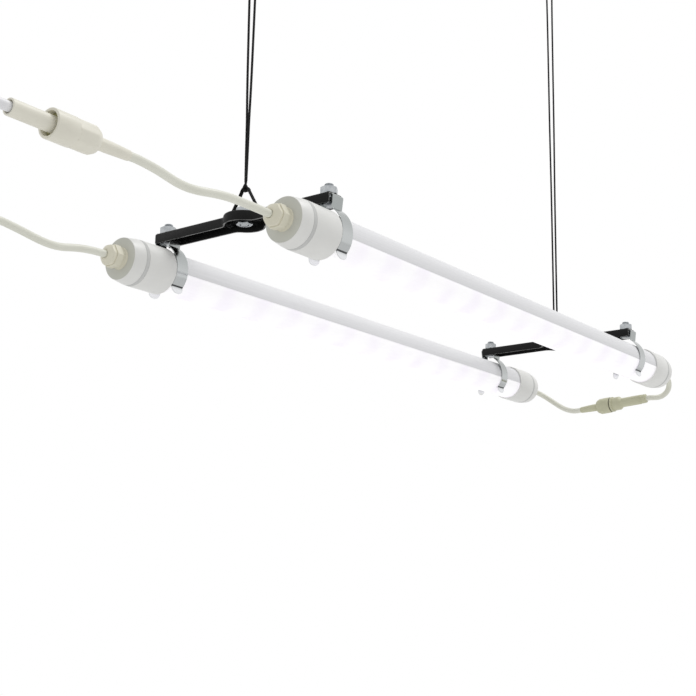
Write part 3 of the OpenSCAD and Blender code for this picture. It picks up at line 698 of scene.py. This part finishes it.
def overhand_knot(at, size, height, radius):
    """An overhand knot pulled tight: a cord wound one and a half times through itself."""
    centres = []
    for k in range(60):
        a = math.tau * k / 60
        out = size * (1 + 0.4 * math.cos(3 * a))
        turn = (out * math.cos(2 * a), out * math.sin(2 * a), height * math.sin(3 * a))
        centres.append(Vector(at) + Vector(turn))
    centres.append(centres[0])
    return tube(centres, radius, CORD_SIDES, UP)


def rope_eye_knot(x, start):
    """The rope's two strands pass either side of the sling and are tied under it. start
    is where a strand comes in, along and across the light."""
    parts = []
    for side in (1, -1):
        route = [
            (*start, -474.1), (start[0] * 0.8 + 0.25, start[1] * 0.6 + 0.35, -475.6),
            (1.7, 0.5, -477.4), (2.3, 0.1, -479), (2.2, -0.2, -480.4),
            (1.1, -0.4, KNOT_Z), (0.3, -0.6, -482.3),
        ]
        centres = smooth_route([(x + side * px, side * py, z) for px, py, z in route], 0.6)
        parts.append(tube(centres, 0.9, CORD_SIDES, (0, 1, 0)))
    parts.append(overhand_knot((x, 0, KNOT_Z), 1.05, 0.8, 0.8))
    return joined(*parts)


def make_ropes():
    for end, x in ENDS.items():
        # half turn over the hook
        arc = []
        for k in range(25):
            a = math.pi * k / 24
            y, z = polar(ROPE_BEND_R, a)
            arc.append(Vector((x, y, HOOK_WIRE_Z + z)))
        over = piece(
            f"{end}_rope_over_hook", laid_cord(arc, ROPE_D / 2), CORD, "rope_bends",
            "rope_bends",
        )
        offsets = STRANDS[end]
        for side, s in SIDES.items():
            centres = smooth_route([(x + s * px, s * py, z) for px, py, z in offsets], 0.5)
            strand = piece(
                f"{end}_rope_strand_{side}", laid_cord(centres, ROPE_D / 2), CORD,
                f"rope_{end}_{side}", "rope_" + end,
            )
        knots = [
            piece(f"{end}_sling_knot", rope_eye_knot(x, offsets[0][:2]), CORD, "sling_knots")
        ]
        for side, s in SIDES.items():
            knot = overhand_knot((x, s * SLING_SPAN, STOPPER_Z), 1.9, 1.2, 1.0)
            knots.append(piece(f"{end}_stopper_knot_{side}", knot, CORD, "stopper_knots"))
        for name, apart in (("near", -SLING_APART), ("far", SLING_APART)):
            half = [(x + apart, y, z) for y, z in SLING_HALF]
            other_half = [(px, -y, z) for px, y, z in reversed(half)]
            centres = smooth_route([*half, (x + apart, *SLING_TOP), *other_half], 0.5)
            sling = piece(
                f"{end}_sling_{name}_cord", laid_cord(centres, SLING_D / 2), CORD,
                "sling_" + end,
            )


# ---- connectors

LINK_TILT = math.radians(4)
# Where each connector's tail begins, and which way it points
TO_B = ((-211, -91, -540), (-1, 0, 0))
TO_A = ((-191, 91, -540), (-1, 0, 0))
LINK = ((667, 28, -569.8), (0, -math.cos(LINK_TILT), math.sin(LINK_TILT)))
MAINS = ((-348, -91, -540), (-1, 0, 0))
# The tail's length in front of the coupling nut, then the nut's length and radius
LONG = (29, 37, 10.25)
SHORT = (24, 18, 9.7)
NUT_WALL = 2
BACK_BORE_R = 5.15  # the hole in a nut's back
THREAD_GAP = 2.3  # from a nut's outside to what it screws onto
PLUG_R = 5.7
GRIP_FLATS = {"count": 8, "first": 22.5}


def connector_tail(length, nut_r):
    """The socket half: a soft eight-sided tail, its neck and the ring the nut pulls on."""
    grip = turned([(0, 0), (0, 3.7, 0.7), (length - 1.5, 4.75, 0.5), (length - 1.2, 0)])
    cut_flats(grip, 8.7, **GRIP_FLATS, soften=0.35)
    ring_r = nut_r - THREAD_GAP
    inner = turned([
        (length - 1.4, 0), (length - 1.4, 4.4, 0.2), (length + 4.3, 4.4),
        (length + 4.3, ring_r, 0.3), (length + 6.8, ring_r, 0.3), (length + 6.8, PLUG_R),
        (length + 10, PLUG_R, 0.4), (length + 10, 0),
    ])
    return joined(grip, inner)


def nut_shell(start, length, r):
    """The coupling nut: round and hollow at its mouth, with eight flats at its back."""
    split = start + length * 0.52
    inner_r = r - NUT_WALL
    back = turned([
        (start, BACK_BORE_R, 0.3), (start, r - 2.2, 1.6), (start + 4.6, r, 1.2), (split, r),
        (split, inner_r), (start + 4, inner_r, 0.5), (start + 4, BACK_BORE_R, 0.3),
    ], closed=True)
    cut_flats(back, 2 * (r - 0.55), **GRIP_FLATS, soften=0.4)
    front = turned([
        (split, inner_r), (split, r, 0.3), (start + length, r, 0.7),
        (start + length, inner_r, 0.5),
    ], closed=True)
    return joined(back, front)


def slim_plug(start, end, nut_r):
    """The plug half of the long connector, hollow where the cable goes in."""
    thread_r = nut_r - THREAD_GAP
    return turned([
        (start, 0), (start, thread_r, 0.3), (start + 3, thread_r, 0.3), (start + 4, PLUG_R),
        (end, PLUG_R, 0.5), (end, 4.4, 0.3), (end - 3, 4.4), (end - 3, 0),
    ])


def collared_plug(start, nut_end, end, nut_r):
    """The plug half of a short connector: collar, shoulder, slim grip and end ring."""
    thread_r, collar_r, shoulder_r = nut_r - THREAD_GAP, nut_r - 0.4, nut_r - 1.4
    core = turned([
        (start, 0), (start, thread_r, 0.3), (nut_end + 1, thread_r),
        (nut_end + 1, collar_r, 0.5), (nut_end + 4, collar_r, 0.5),
        (nut_end + 4, shoulder_r), (nut_end + 12.5, shoulder_r, 1.2),
        (nut_end + 16, 5.3, 1), (end - 6, 5.3), (end - 6, 5.6, 0.5), (end, 5.4, 0.9),
        (end, 0),
    ])
    grip_from, grip_to = nut_end + 14, end - 7
    grip = turned([(grip_from, 0), (grip_from, 5.95, 0.6), (grip_to, 5.95, 0.6), (grip_to, 0)])
    cut_flats(grip, 10.9, **GRIP_FLATS, soften=0.3)
    return joined(core, grip)


def connector(name, key, at, nylon, size, plug, plug_name="plug_half", plug_node="plug_"):
    """The socket half, the nut that turns on it and what closes the nut."""
    tail_l, _, nut_r = size
    return [
        piece(f"{name}_connector_tail", placed(connector_tail(tail_l, nut_r), *at), nylon,
              "socket_" + key),
        piece(f"{name}_coupling_nut", placed(nut_shell(*size), *at), nylon,
              "coupling_nut_" + key, "nut_" + key),
        piece(f"{name}_{plug_name}", placed(plug, *at), nylon, plug_node + key),
    ]


# A ring set in a connector's mouth or gap, coloured as painted shade.
def shade_ring(name, at, ring, rubber):
    drawn = placed(turned(ring, closed=True), *at)
    return piece(f"{name}_connector_shade_ring", drawn, rubber)


def lead(name, route, node, others=(), diameter=LEAD_D, finish=LEAD_PVC):
    centres = smooth_route(route, 2.0)
    made = piece(name, tube(centres, diameter / 2, 24, UP), finish, node)


def make_leads():
    supply = connector("supply", "b", TO_B, CONNECTOR_NYLON, LONG,
                       slim_plug(39.5, 96, LONG[2]))
    ring = [(58, 5.72), (58, 8.1, 0.5), (62.5, 8.1, 0.8), (61, 5.72)]
    supply.append(shade_ring("supply", TO_B, ring, OLIVE_MOUTH_SHADE))
    lead("supply_side_lead_b", LEAD_B, "lead_b", supply)

    lead("white_supply_cable", SUPPLY, "supply_cable", make_mains_plug(),
         SUPPLY_D, WHITE_PVC)

    disc = turned([
        (34.5, 0), (34.5, 7.4, 0.3), (43, 7.4), (43, 9.3, 0.5), (46, 9.3, 0.6),
        (47, 7.4, 0.5), (46.4, 6.6), (46.4, 0),
    ])
    spare = connector("spare", "a", TO_A, CONNECTOR_NYLON, SHORT, disc, "dust_plug",
                      "dust_plug_")
    lead("supply_side_lead_a", LEAD_A, "lead_a", spare)

    link = connector("link", "link", LINK, SHADED_LINK_NYLON, SHORT,
                     collared_plug(34.5, 42, 90, SHORT[2]))
    ring = [(42.1, 7.42), (42.1, 8.9, 0.3), (42.9, 8.9, 0.3), (42.9, 7.42)]
    link.append(shade_ring("link", LINK, ring, DARK_GAP_SHADE))
    lead("link_lead_from_a", LINK_A, "link_lead_a", link)
    lead("link_lead_from_b", LINK_B, "link_lead_b")


def make_mains_plug():
    """A flat two-pin plug with a ribbed grip."""
    outline = []
    for y, start in ((6, -math.pi / 2), (-6, math.pi / 2)):
        for k in range(13):
            across, z = polar(7, start + math.pi * k / 12)
            outline.append((y + across, z))
    body = drawn_out(outline, 26)
    rims = [e for e in body.edges if abs(e.verts[0].co.x - e.verts[1].co.x) < 1e-6]
    bevelled(body, rims, 1.6, 3)
    shift(body, (8, 0, 0))
    ribs = [(0, 0), (0, 4.2, 0.4)]
    for k in range(4):
        x, r = 1.6 * k, 0.3 * k
        ribs += [(1.2 + x, 4.4 + r), (1.2 + x, 3.9 + r), (1.9 + x, 3.9 + r),
                 (1.9 + x, 4.5 + r)]
    ribs += [(8.6, 5.6), (8.6, 0)]
    whole = placed(joined(body, turned(ribs)), *MAINS)
    plug = piece("mains_plug_body", whole, WHITE_PVC, "mains_plug", sharp=40)
    pins = []
    for y in (9.5, -9.5):
        pin = turned([
            (33.8, 0), (33.8, 1.95), (43, 1.95, 0.2), (43, 2), (52, 2, 0), (54, 0.9, 0.5),
            (54, 0),
        ], segments=32)
        shift(pin, (0, y, 0))
        pins.append(pin)
    pin_pair = placed(joined(*pins), *MAINS)
    return [plug, piece("mains_plug_pins", pin_pair, BRASS)]


make_ropes()
make_leads()


# ---- sealed tubes

SPLIT_DROP = 2.7  # the shell ends this far under the axis
SPLIT_GAP = 0.05  # and the diffuser begins this far under the shell
SHELL_BORE_R = 17.5
LENS_BORE_R = 17.7
SHELF_Z = 3  # top of the shelf that carries the LED board
STOP = 17.5  # from an end face to where shell and diffuser begin


def arc_points(radius, start, stop, steps):
    """Points on a circle round the tube's axis, by angle from +Y towards +Z."""
    turns = [start + (stop - start) * k / steps for k in range(steps + 1)]
    return [polar(radius, math.radians(turn)) for turn in turns]


def at_height(z, radius):
    """The angle at which a circle round the axis passes a height."""
    return math.degrees(math.asin(z / radius))


def shell_section():
    """Upper shell with its shelf."""
    outer = at_height(-SPLIT_DROP, TUBE_R)
    lower = at_height(-SPLIT_DROP, SHELL_BORE_R)
    shelf = at_height(SHELF_Z, SHELL_BORE_R)
    return (
        arc_points(TUBE_R, outer, 180 - outer, 48)
        + arc_points(SHELL_BORE_R, 180 - lower, 180 - shelf, 3)
        + arc_points(SHELL_BORE_R, shelf, lower, 3)
    )


def diffuser_section():
    top = -(SPLIT_DROP + SPLIT_GAP)
    outer, inner = at_height(top, TUBE_R), at_height(top, LENS_BORE_R)
    outside = arc_points(TUBE_R, 180 - outer, 360 + outer, 44)
    return outside + arc_points(LENS_BORE_R, 360 + inner, 180 - inner, 44)


def end_cap():
    """Moulded cap, from its face inwards, with a second, darker finish on the plate that
    closes its face: painted shade."""
    cap = turned([
        (0, 7.95), (0, 18.5, 0.45), (12, 20.4, 0.35), (12, 18.75), (15.5, 18.75),
        (15.5, 20.6, 0.4), (47, 20.6, 0.7), (47, 19.15, 0.25), (17, 19.15), (17, 16.5),
        (3, 16.5), (3, 7.95),
    ], closed=True, segments=96)
    for face in cap.faces:
        middle = face.calc_center_median()
        if middle.x < 0.05 and middle.yz.length < 18.2:
            face.material_index = 1
    return cap


def seal_ring():
    profile = [(12.12, 18.8), (12.12, 20.35, 0.35), (15.38, 20.5, 0.35), (15.38, 18.8)]
    return turned(profile, closed=True, segments=96)


def gland():
    """Six-sided flange on a round neck that meets the cap's face in a small fillet, and
    the nut's own neck."""
    skirt = turned([
        (-4.5, 0), (-4.5, 7.9, 0.4), (0.02, 7.9), (0.02, 9.7), (0.25, 9.1, 0.4),
        (1.2, 8.7, 0.8), (5.2, 8.7), (5.2, 0),
    ])
    flange = turned(
        [(4.5, 0), (4.5, 9.6), (5, 10.6), (10.1, 10.6), (10.9, 9.5), (10.9, 0)]
    )
    cut_flats(flange, 18.3, 6, 30, 0.35)
    neck = turned([(10.8, 0), (10.8, 6), (14, 6, 0.3), (14, 0)])
    return joined(skirt, flange, neck)


def dome_nut():
    """Six-sided nut that rounds down to the cable."""
    nut = turned([
        (10.95, 6.2), (10.95, 8.6), (11.5, 9.3, 0.4), (13.5, 9.3, 1.4), (16.9, 4.9, 1.0),
        (16.9, 3.5, 0.25), (16.1, 3.5), (16.1, 0), (14.1, 0), (14.1, 6.2),
    ])
    return cut_flats(nut, 16.6, 6, 30, 0.35)


def make_tubes():
    for t, side in SIDES.items():
        body = "tube_" + t
        y = side * TUBE_Y
        for name, section, finish, node in (
            ("shell_", shell_section(), ALUMINIUM, "heat_sink_"),
            ("lens_", diffuser_section(), DIFFUSER, "diffuser_"),
        ):
            drawn = drawn_out(section, FAR_X - NEAR_X - 2 * STOP)
            piece(name + t, placed(drawn, (NEAR_X + STOP, y, AXIS_Z)), finish, node + t, body)
        for end, x, inward in (("near", NEAR_X, 1), ("far", FAR_X, -1)):
            for name, drawn, way, finish, node in (
                ("cap", end_cap(), inward, [CAP_ABS, SHADED_FACE_NYLON], f"cap_{end}_{t}"),
                ("seal", seal_ring(), inward, SEAL_RUBBER, "seals_" + t),
                ("gland", gland(), -inward, GLAND_NYLON, "glands_" + t),
                ("gland_nut", dome_nut(), -inward, GLAND_NYLON, "gland_nuts_" + t),
            ):
                drawn = placed(drawn, (x, y, AXIS_Z), (way, 0, 0))
                piece(f"{end}_{name}_{t}", drawn, finish, node, body)
        for node, finish in (
            ("led_board_", BOARD_WHITE), ("led_chips_", PHOSPHOR), ("driver_", BOARD_GREEN)
        ):
            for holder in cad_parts[node + t].material_slots:
                holder.material = finish


make_tubes()


# ---- arms and clips

HUB_R = 18.0
HUB_FILLET = 8.0
ARM_HALF_W = 9.0
ARM_HALF_L = 98.0
ARM_H = 9.0
SHEET = 1.5
SHEET_BEND_R = 1.9
BOLT_HOLE_R = 4.3
SLING_HOLE_R = 2.15


def arm_outline():
    """The arm's outline from above, one way round: a bar with a filleted round hub."""
    fillet_x = ARM_HALF_W + HUB_FILLET
    reach = math.sqrt((HUB_R + HUB_FILLET) ** 2 - fillet_x**2)
    touch = math.atan2(reach, fillet_x)
    quarter = [(ARM_HALF_W, ARM_HALF_L), (ARM_HALF_W, reach)]
    # hollow fillet from the bar's side to the hub, then the hub round to level
    for k in range(1, 9):
        px, py = polar(HUB_FILLET, math.pi + touch * k / 8)
        quarter.append((fillet_x + px, reach + py))
    quarter += [polar(HUB_R, touch * (1 - k / 8)) for k in range(1, 9)]
    right = quarter + [(x, -y) for x, y in reversed(quarter[:-1])]
    return right + [(-x, -y) for x, y in right]


def channel_arm(x):
    """Pressed sheet channel: the top with its holes, then the flanges turned down."""
    bm = bmesh.new()
    rim = [bm.verts.new((x + px, py, ARM_TOP)) for px, py in arm_outline()]
    edges = [bm.edges.new(pair) for pair in zip(rim, rim[1:] + rim[:1])]
    walls = [
        e for e in edges if not all(abs(abs(v.co.y) - ARM_HALF_L) < 1e-4 for v in e.verts)
    ]
    holes = [(y, BOLT_HOLE_R) for y in (-TUBE_Y, 0, TUBE_Y)]
    holes += [(y, SLING_HOLE_R) for y in (-SLING_SPAN, SLING_SPAN)]
    for y, r in holes:
        middle = Matrix.Translation((x, y, ARM_TOP))
        hole = bmesh.ops.create_circle(bm, segments=24, radius=r, matrix=middle)
        edges += list({e for v in hole["verts"] for e in v.link_edges})
    bmesh.ops.triangle_fill(bm, use_beauty=True, use_dissolve=False, edges=edges)
    grown = bmesh.ops.extrude_edge_only(bm, edges=walls)
    shift(bm, (0, 0, -ARM_H), new_points(grown))
    outwards(bm)
    top = max(bm.faces, key=lambda f: f.calc_center_median().z)
    if top.normal.z < 0:
        bmesh.ops.reverse_faces(bm, faces=bm.faces)
    # the bend between top and flanges
    bend = [
        e
        for e in bm.edges
        if len(e.link_faces) == 2
        and e.calc_face_angle() > 1.2
        and all(abs(v.co.z - ARM_TOP) < 1e-4 for v in e.verts)
    ]
    bevelled(bm, bend, SHEET_BEND_R, 4)
    return bm


def finish_sheet(obj):
    """Gives the arm its thickness, with the painted edge highlight as the second finish on the
    sheared edges.
    """
    sheet = obj.modifiers.new("sheet thickness", "SOLIDIFY")
    sheet.thickness = SHEET * MM
    sheet.offset = -1
    sheet.use_even_offset = True
    sheet.use_quality_normals = True
    sheet.material_offset_rim = 1
    limit_bevel(obj, "pressed edges", 0.25, 50).material = -1


STRIP_T = 0.8
STRIP_W = 13.0
STRIP_PLAY = 0.3  # between the tube and the strip that hugs it
STRIP_R = TUBE_R + STRIP_PLAY + STRIP_T / 2  # middle of the strip round the tube
HUG_TOP = -5.9  # where the strip meets the tube, in degrees above the axis
HUG_BOTTOM = 45.0  # where it leaves the tube, in degrees under the axis
FLARE_R = 25.5  # the strip's curve between the hug and the foot of the leg
FLARE_TURN = 60.9
LEG_LEAN = 7.0
LIP_L = 6.2
LIP_BEND = 0.7
LIP_FOLD = 56.0
LIP_CORNER_R = 5.5
FOOT_BEND = 1.6
TOP_BEND = 1.4
WEB_Z = 35.5 - SHEET - STRIP_T / 2  # the strip's web, above the axis


def spring_clip(x, y):
    """Half of the strip, from the web down a leg and round the tube to the lip, and then
    its mirror."""
    top, lean = math.radians(HUG_TOP), math.radians(LEG_LEAN)
    flare = top + math.radians(FLARE_TURN)
    out = Vector(polar(1, flare))
    flare_end = (STRIP_R - FLARE_R) * Vector(polar(1, top)) + FLARE_R * out
    leg_start = flare_end + FOOT_BEND * (out - Vector(polar(1, -lean)))
    leg_l = (WEB_Z - leg_start.y - TOP_BEND * (1 + math.sin(lean))) / math.cos(lean)
    web_half = leg_start.x + leg_l * math.sin(lean) - TOP_BEND * math.cos(lean)
    half_w, half_t = STRIP_W / 2, STRIP_T / 2
    section = [(-half_w, -half_t), (half_w, -half_t), (half_w, half_t), (-half_w, half_t)]
    steps = [
        (web_half, 0),
        (TOP_BEND, -(90 + LEG_LEAN)),
        (leg_l, 0),
        (FOOT_BEND, HUG_TOP + FLARE_TURN + LEG_LEAN),
        (FLARE_R, -FLARE_TURN),
        (STRIP_R, -(HUG_TOP + HUG_BOTTOM)),
        (LIP_BEND, LIP_FOLD),
        (LIP_L, 0),
    ]
    half = bent(section, steps, (0, WEB_Z), 0, 4.0)
    # round the corners of the lip
    corners = sorted(
        (e for e in half.edges if abs(e.calc_length() - STRIP_T) < 0.05),
        key=lambda e: e.verts[0].co.z + e.verts[1].co.z,
    )[:2]
    bevelled(half, corners, LIP_CORNER_R, 6)
    start = [f for f in half.faces if all(abs(v.co.y) < 1e-5 for v in f.verts)]
    bmesh.ops.delete(half, geom=start, context="FACES")
    both = half.verts[:] + half.edges[:] + half.faces[:]
    bmesh.ops.mirror(half, geom=both, axis="Y", merge_dist=MERGE)
    outwards(half)
    return placed(half, (x, y, AXIS_Z))


# M8 fasteners
ACROSS_FLATS = 13
CORNER_R = 7.506
CHAMFER_R = 6.1
CHAMFER_SLOPE = 0.577
HEAD_H = 5.3
NUT_H = 6.5
NUT_BORE_R = 4.05
THREAD_R = 4
THREAD_DEPTH = 0.65
THREAD_PITCH = 1.25
THREAD_LEAD_IN = 0.6
WASHER_T = 1.6
OVERLAP = 0.1  # how far a thread starts inside its head's bearing face


def hexagon(height, bore=0.0, first=30):
    """A bolt head, chamfered at its top, or with a bore a nut, chamfered at both ends. Flats
    at 30 degrees face along the light, flats at 0 across it."""
    r, edge = CORNER_R, CHAMFER_R
    drop = (r - edge) * CHAMFER_SLOPE
    if bore:
        profile = [(0, bore), (0, edge), (drop, r), (height - drop, r), (height, edge),
                   (height, bore)]
    else:
        profile = [(0, 0), (0, r), (height - drop, r), (height, edge), (height, 0)]
    return cut_flats(turned(profile, closed=bool(bore)), ACROSS_FLATS, 6, first)


def washer(radius):
    profile = [(0, BOLT_HOLE_R), (0, radius, 0.2), (WASHER_T, radius, 0.2),
               (WASHER_T, BOLT_HOLE_R)]
    return turned(profile, closed=True)


def threaded(length):
    """A threaded stud, its grooves drawn as rings."""
    root = THREAD_R - THREAD_DEPTH
    profile = [(0, 0), (0, root)]
    x = 0.0
    while x + THREAD_PITCH < length - THREAD_LEAD_IN:
        for part, r in ((0.12, root), (0.45, THREAD_R), (0.58, THREAD_R), (0.9, root)):
            profile.append((x + THREAD_PITCH * part, r))
        x += THREAD_PITCH
    profile += [(length - THREAD_LEAD_IN, THREAD_R - 0.25), (length, THREAD_R - 0.9),
                (length, 0)]
    return turned(profile, segments=36)


def bolt(x, y, seat, head_way, thread_way, length):
    """A bolt whose washer lies against a seat at a height."""
    out = head_way[2]
    return joined(
        placed(hexagon(HEAD_H), (x, y, seat + out * WASHER_T), head_way),
        placed(threaded(length), (x, y, seat + out * (WASHER_T + OVERLAP)), thread_way),
    )


def make_arms():
    for end, x in ENDS.items():
        arm = piece(f"{end}_channel_arm", channel_arm(x), [BLACK_COAT, PAINTED_EDGE_HIGHLIGHT],
                    "arm_" + end, sharp=50)
        finish_sheet(arm)
        under = ARM_TOP - SHEET - STRIP_T
        for t, side in SIDES.items():
            y = side * TUBE_Y
            clip = piece(f"{end}_clip_{t}", spring_clip(x, y), STRIP_STEEL,
                         f"clip_{end}_{t}")
            limit_bevel(clip, "softened edges", 0.12, 32).harden_normals = True
            for name, drawn in (
                ("nut", placed(hexagon(NUT_H, NUT_BORE_R), (x, y, ARM_TOP), UP)),
                ("washer", placed(washer(7.5), (x, y, under), DOWN)),
                ("bolt", bolt(x, y, under, DOWN, UP, 13.4)),
            ):
                piece(f"{end}_clip_{name}_{t}", drawn, ZINC, f"clip_{name}s")
        inside = (x, 0, ARM_TOP - SHEET)
        for name, drawn in (
            ("washer", placed(washer(8), (x, 0, ARM_TOP), UP)),
            ("nut", placed(hexagon(NUT_H, NUT_BORE_R, 0), inside, DOWN)),
            ("bolt", bolt(x, 0, ARM_TOP, UP, DOWN, 9.6)),
        ):
            piece(f"{end}_hub_{name}", drawn, ZINC, f"hub_{name}s")


WIRE_R = 2.2
BOWL_R = 11.0
BOWL_Z = -29.0
BOWL_TIP = 20  # how far the bowl's open end rises past level, in degrees
NECK_R = 6.0


def screw_hook(x):
    """Bent wire with a collar and a wood screw thread above the ceiling."""
    rise = math.sqrt((BOWL_R + NECK_R) ** 2 - NECK_R**2)
    neck = math.degrees(math.asin(rise / (BOWL_R + NECK_R)))
    tip_x, tip_up = polar(BOWL_R, math.radians(BOWL_TIP))
    tip_z = BOWL_Z + tip_up
    # drawn in the Y-Z plane, then turned to stand in X-Z
    wire = bent(
        [polar(WIRE_R, math.tau * k / 20) for k in range(20)],
        [(BOWL_R, -(180 + BOWL_TIP + neck)), (NECK_R, neck), (3.0 - (BOWL_Z + rise), 0)],
        (tip_x, tip_z),
        BOWL_TIP - 90,
    )
    wire.transform(Matrix.Rotation(-math.pi / 2, 4, "Z"))
    ball = bmesh.new()
    bmesh.ops.create_uvsphere(ball, u_segments=20, v_segments=12, radius=WIRE_R)
    shift(ball, (tip_x, 0, tip_z))
    collar = turned([(0, 0), (0, 5.2, 0.3), (0.7, 6, 0.4), (1.5, 6, 0.3), (1.5, 0)])
    screw = [(2.9, 0), (2.9, 2.2, 0.2)]
    z = 4.0
    while z < 22:
        core = 1.55 if z < 17 else 1.55 - (z - 17) * 0.2
        crest = core + 0.62
        screw += [(z, core), (z + 0.8, crest), (z + 1.0, crest), (z + 1.25, core)]
        z += 1.8
    screw += [(23.2, 0.5), (24, 0)]
    thread = placed(turned(screw, segments=36), (0, 0, 0), UP)
    whole = joined(wire, ball, placed(collar, (0, 0, -3.5), UP), thread)
    shift(whole, (x, 0, 0))
    return whole


def make_hooks():
    for end, x in ENDS.items():
        piece(f"{end}_screw_hook", screw_hook(x), HOOK_ZINC, "hook_" + end, "ceiling")


make_arms()
make_hooks()


# ---- studio

AMBIENT = 0.64  # the white world's strength on what it lights
# Each lamp's name, its place, aim and size in metres, and its power in watts
LAMPS = (("softbox", (1.9, -1.5, 4.4), (0.1, 0, -0.5), 2.4, 100.0),)


def set_studio():
    """A pale floor well below the light, an even white world and a soft lamp."""
    floor_mesh = bpy.data.meshes.new("studio_floor")
    bm = bmesh.new()
    bmesh.ops.create_grid(bm, x_segments=1, y_segments=1, size=3.0)
    shift(bm, (0.25, 0, -1.5))
    bm.to_mesh(floor_mesh)
    bm.free()
    floor = new_object("studio_floor", floor_mesh)
    made, _, _ = material("studio floor", Base_Color=linear("#F4F4F4"), Roughness=0.9)
    floor_mesh.materials.append(made)

    world = bpy.data.worlds.new("studio")
    bpy.context.scene.world = world
    world.use_nodes = True
    tree = world.node_tree
    tree.nodes.clear()
    # full white to the camera and in what the light mirrors
    seen = add(tree, "LightPath", "Is Camera Ray")
    rays = seen.node.outputs
    for kind in ("Is Glossy Ray", "Is Transmission Ray"):
        seen = add(tree, "Math", "Value", {0: seen, 1: rays[kind]}, operation="MAXIMUM")
    mapped = {"Value": seen, "To Min": AMBIENT, "To Max": 1.0}
    strength = add(tree, "MapRange", "Result", mapped)
    white = {"Color": (1, 1, 1, 1), "Strength": strength}
    light = add(tree, "Background", "Background", white)
    tree.links.new(light, tree.nodes.new("ShaderNodeOutputWorld").inputs["Surface"])

    for name, at, aim, size, power in LAMPS:
        data = bpy.data.lights.new(name, "AREA")
        data.shape = "DISK"
        data.size = size
        data.energy = power
        lamp = new_object(name, data)
        direction = Vector(aim) - Vector(at)
        lamp.rotation_mode = "QUATERNION"
        lamp.rotation_quaternion = direction.to_track_quat("-Z", "Y")
        lamp.location = at

    bpy.context.scene.view_settings.view_transform = "Standard"


set_studio()
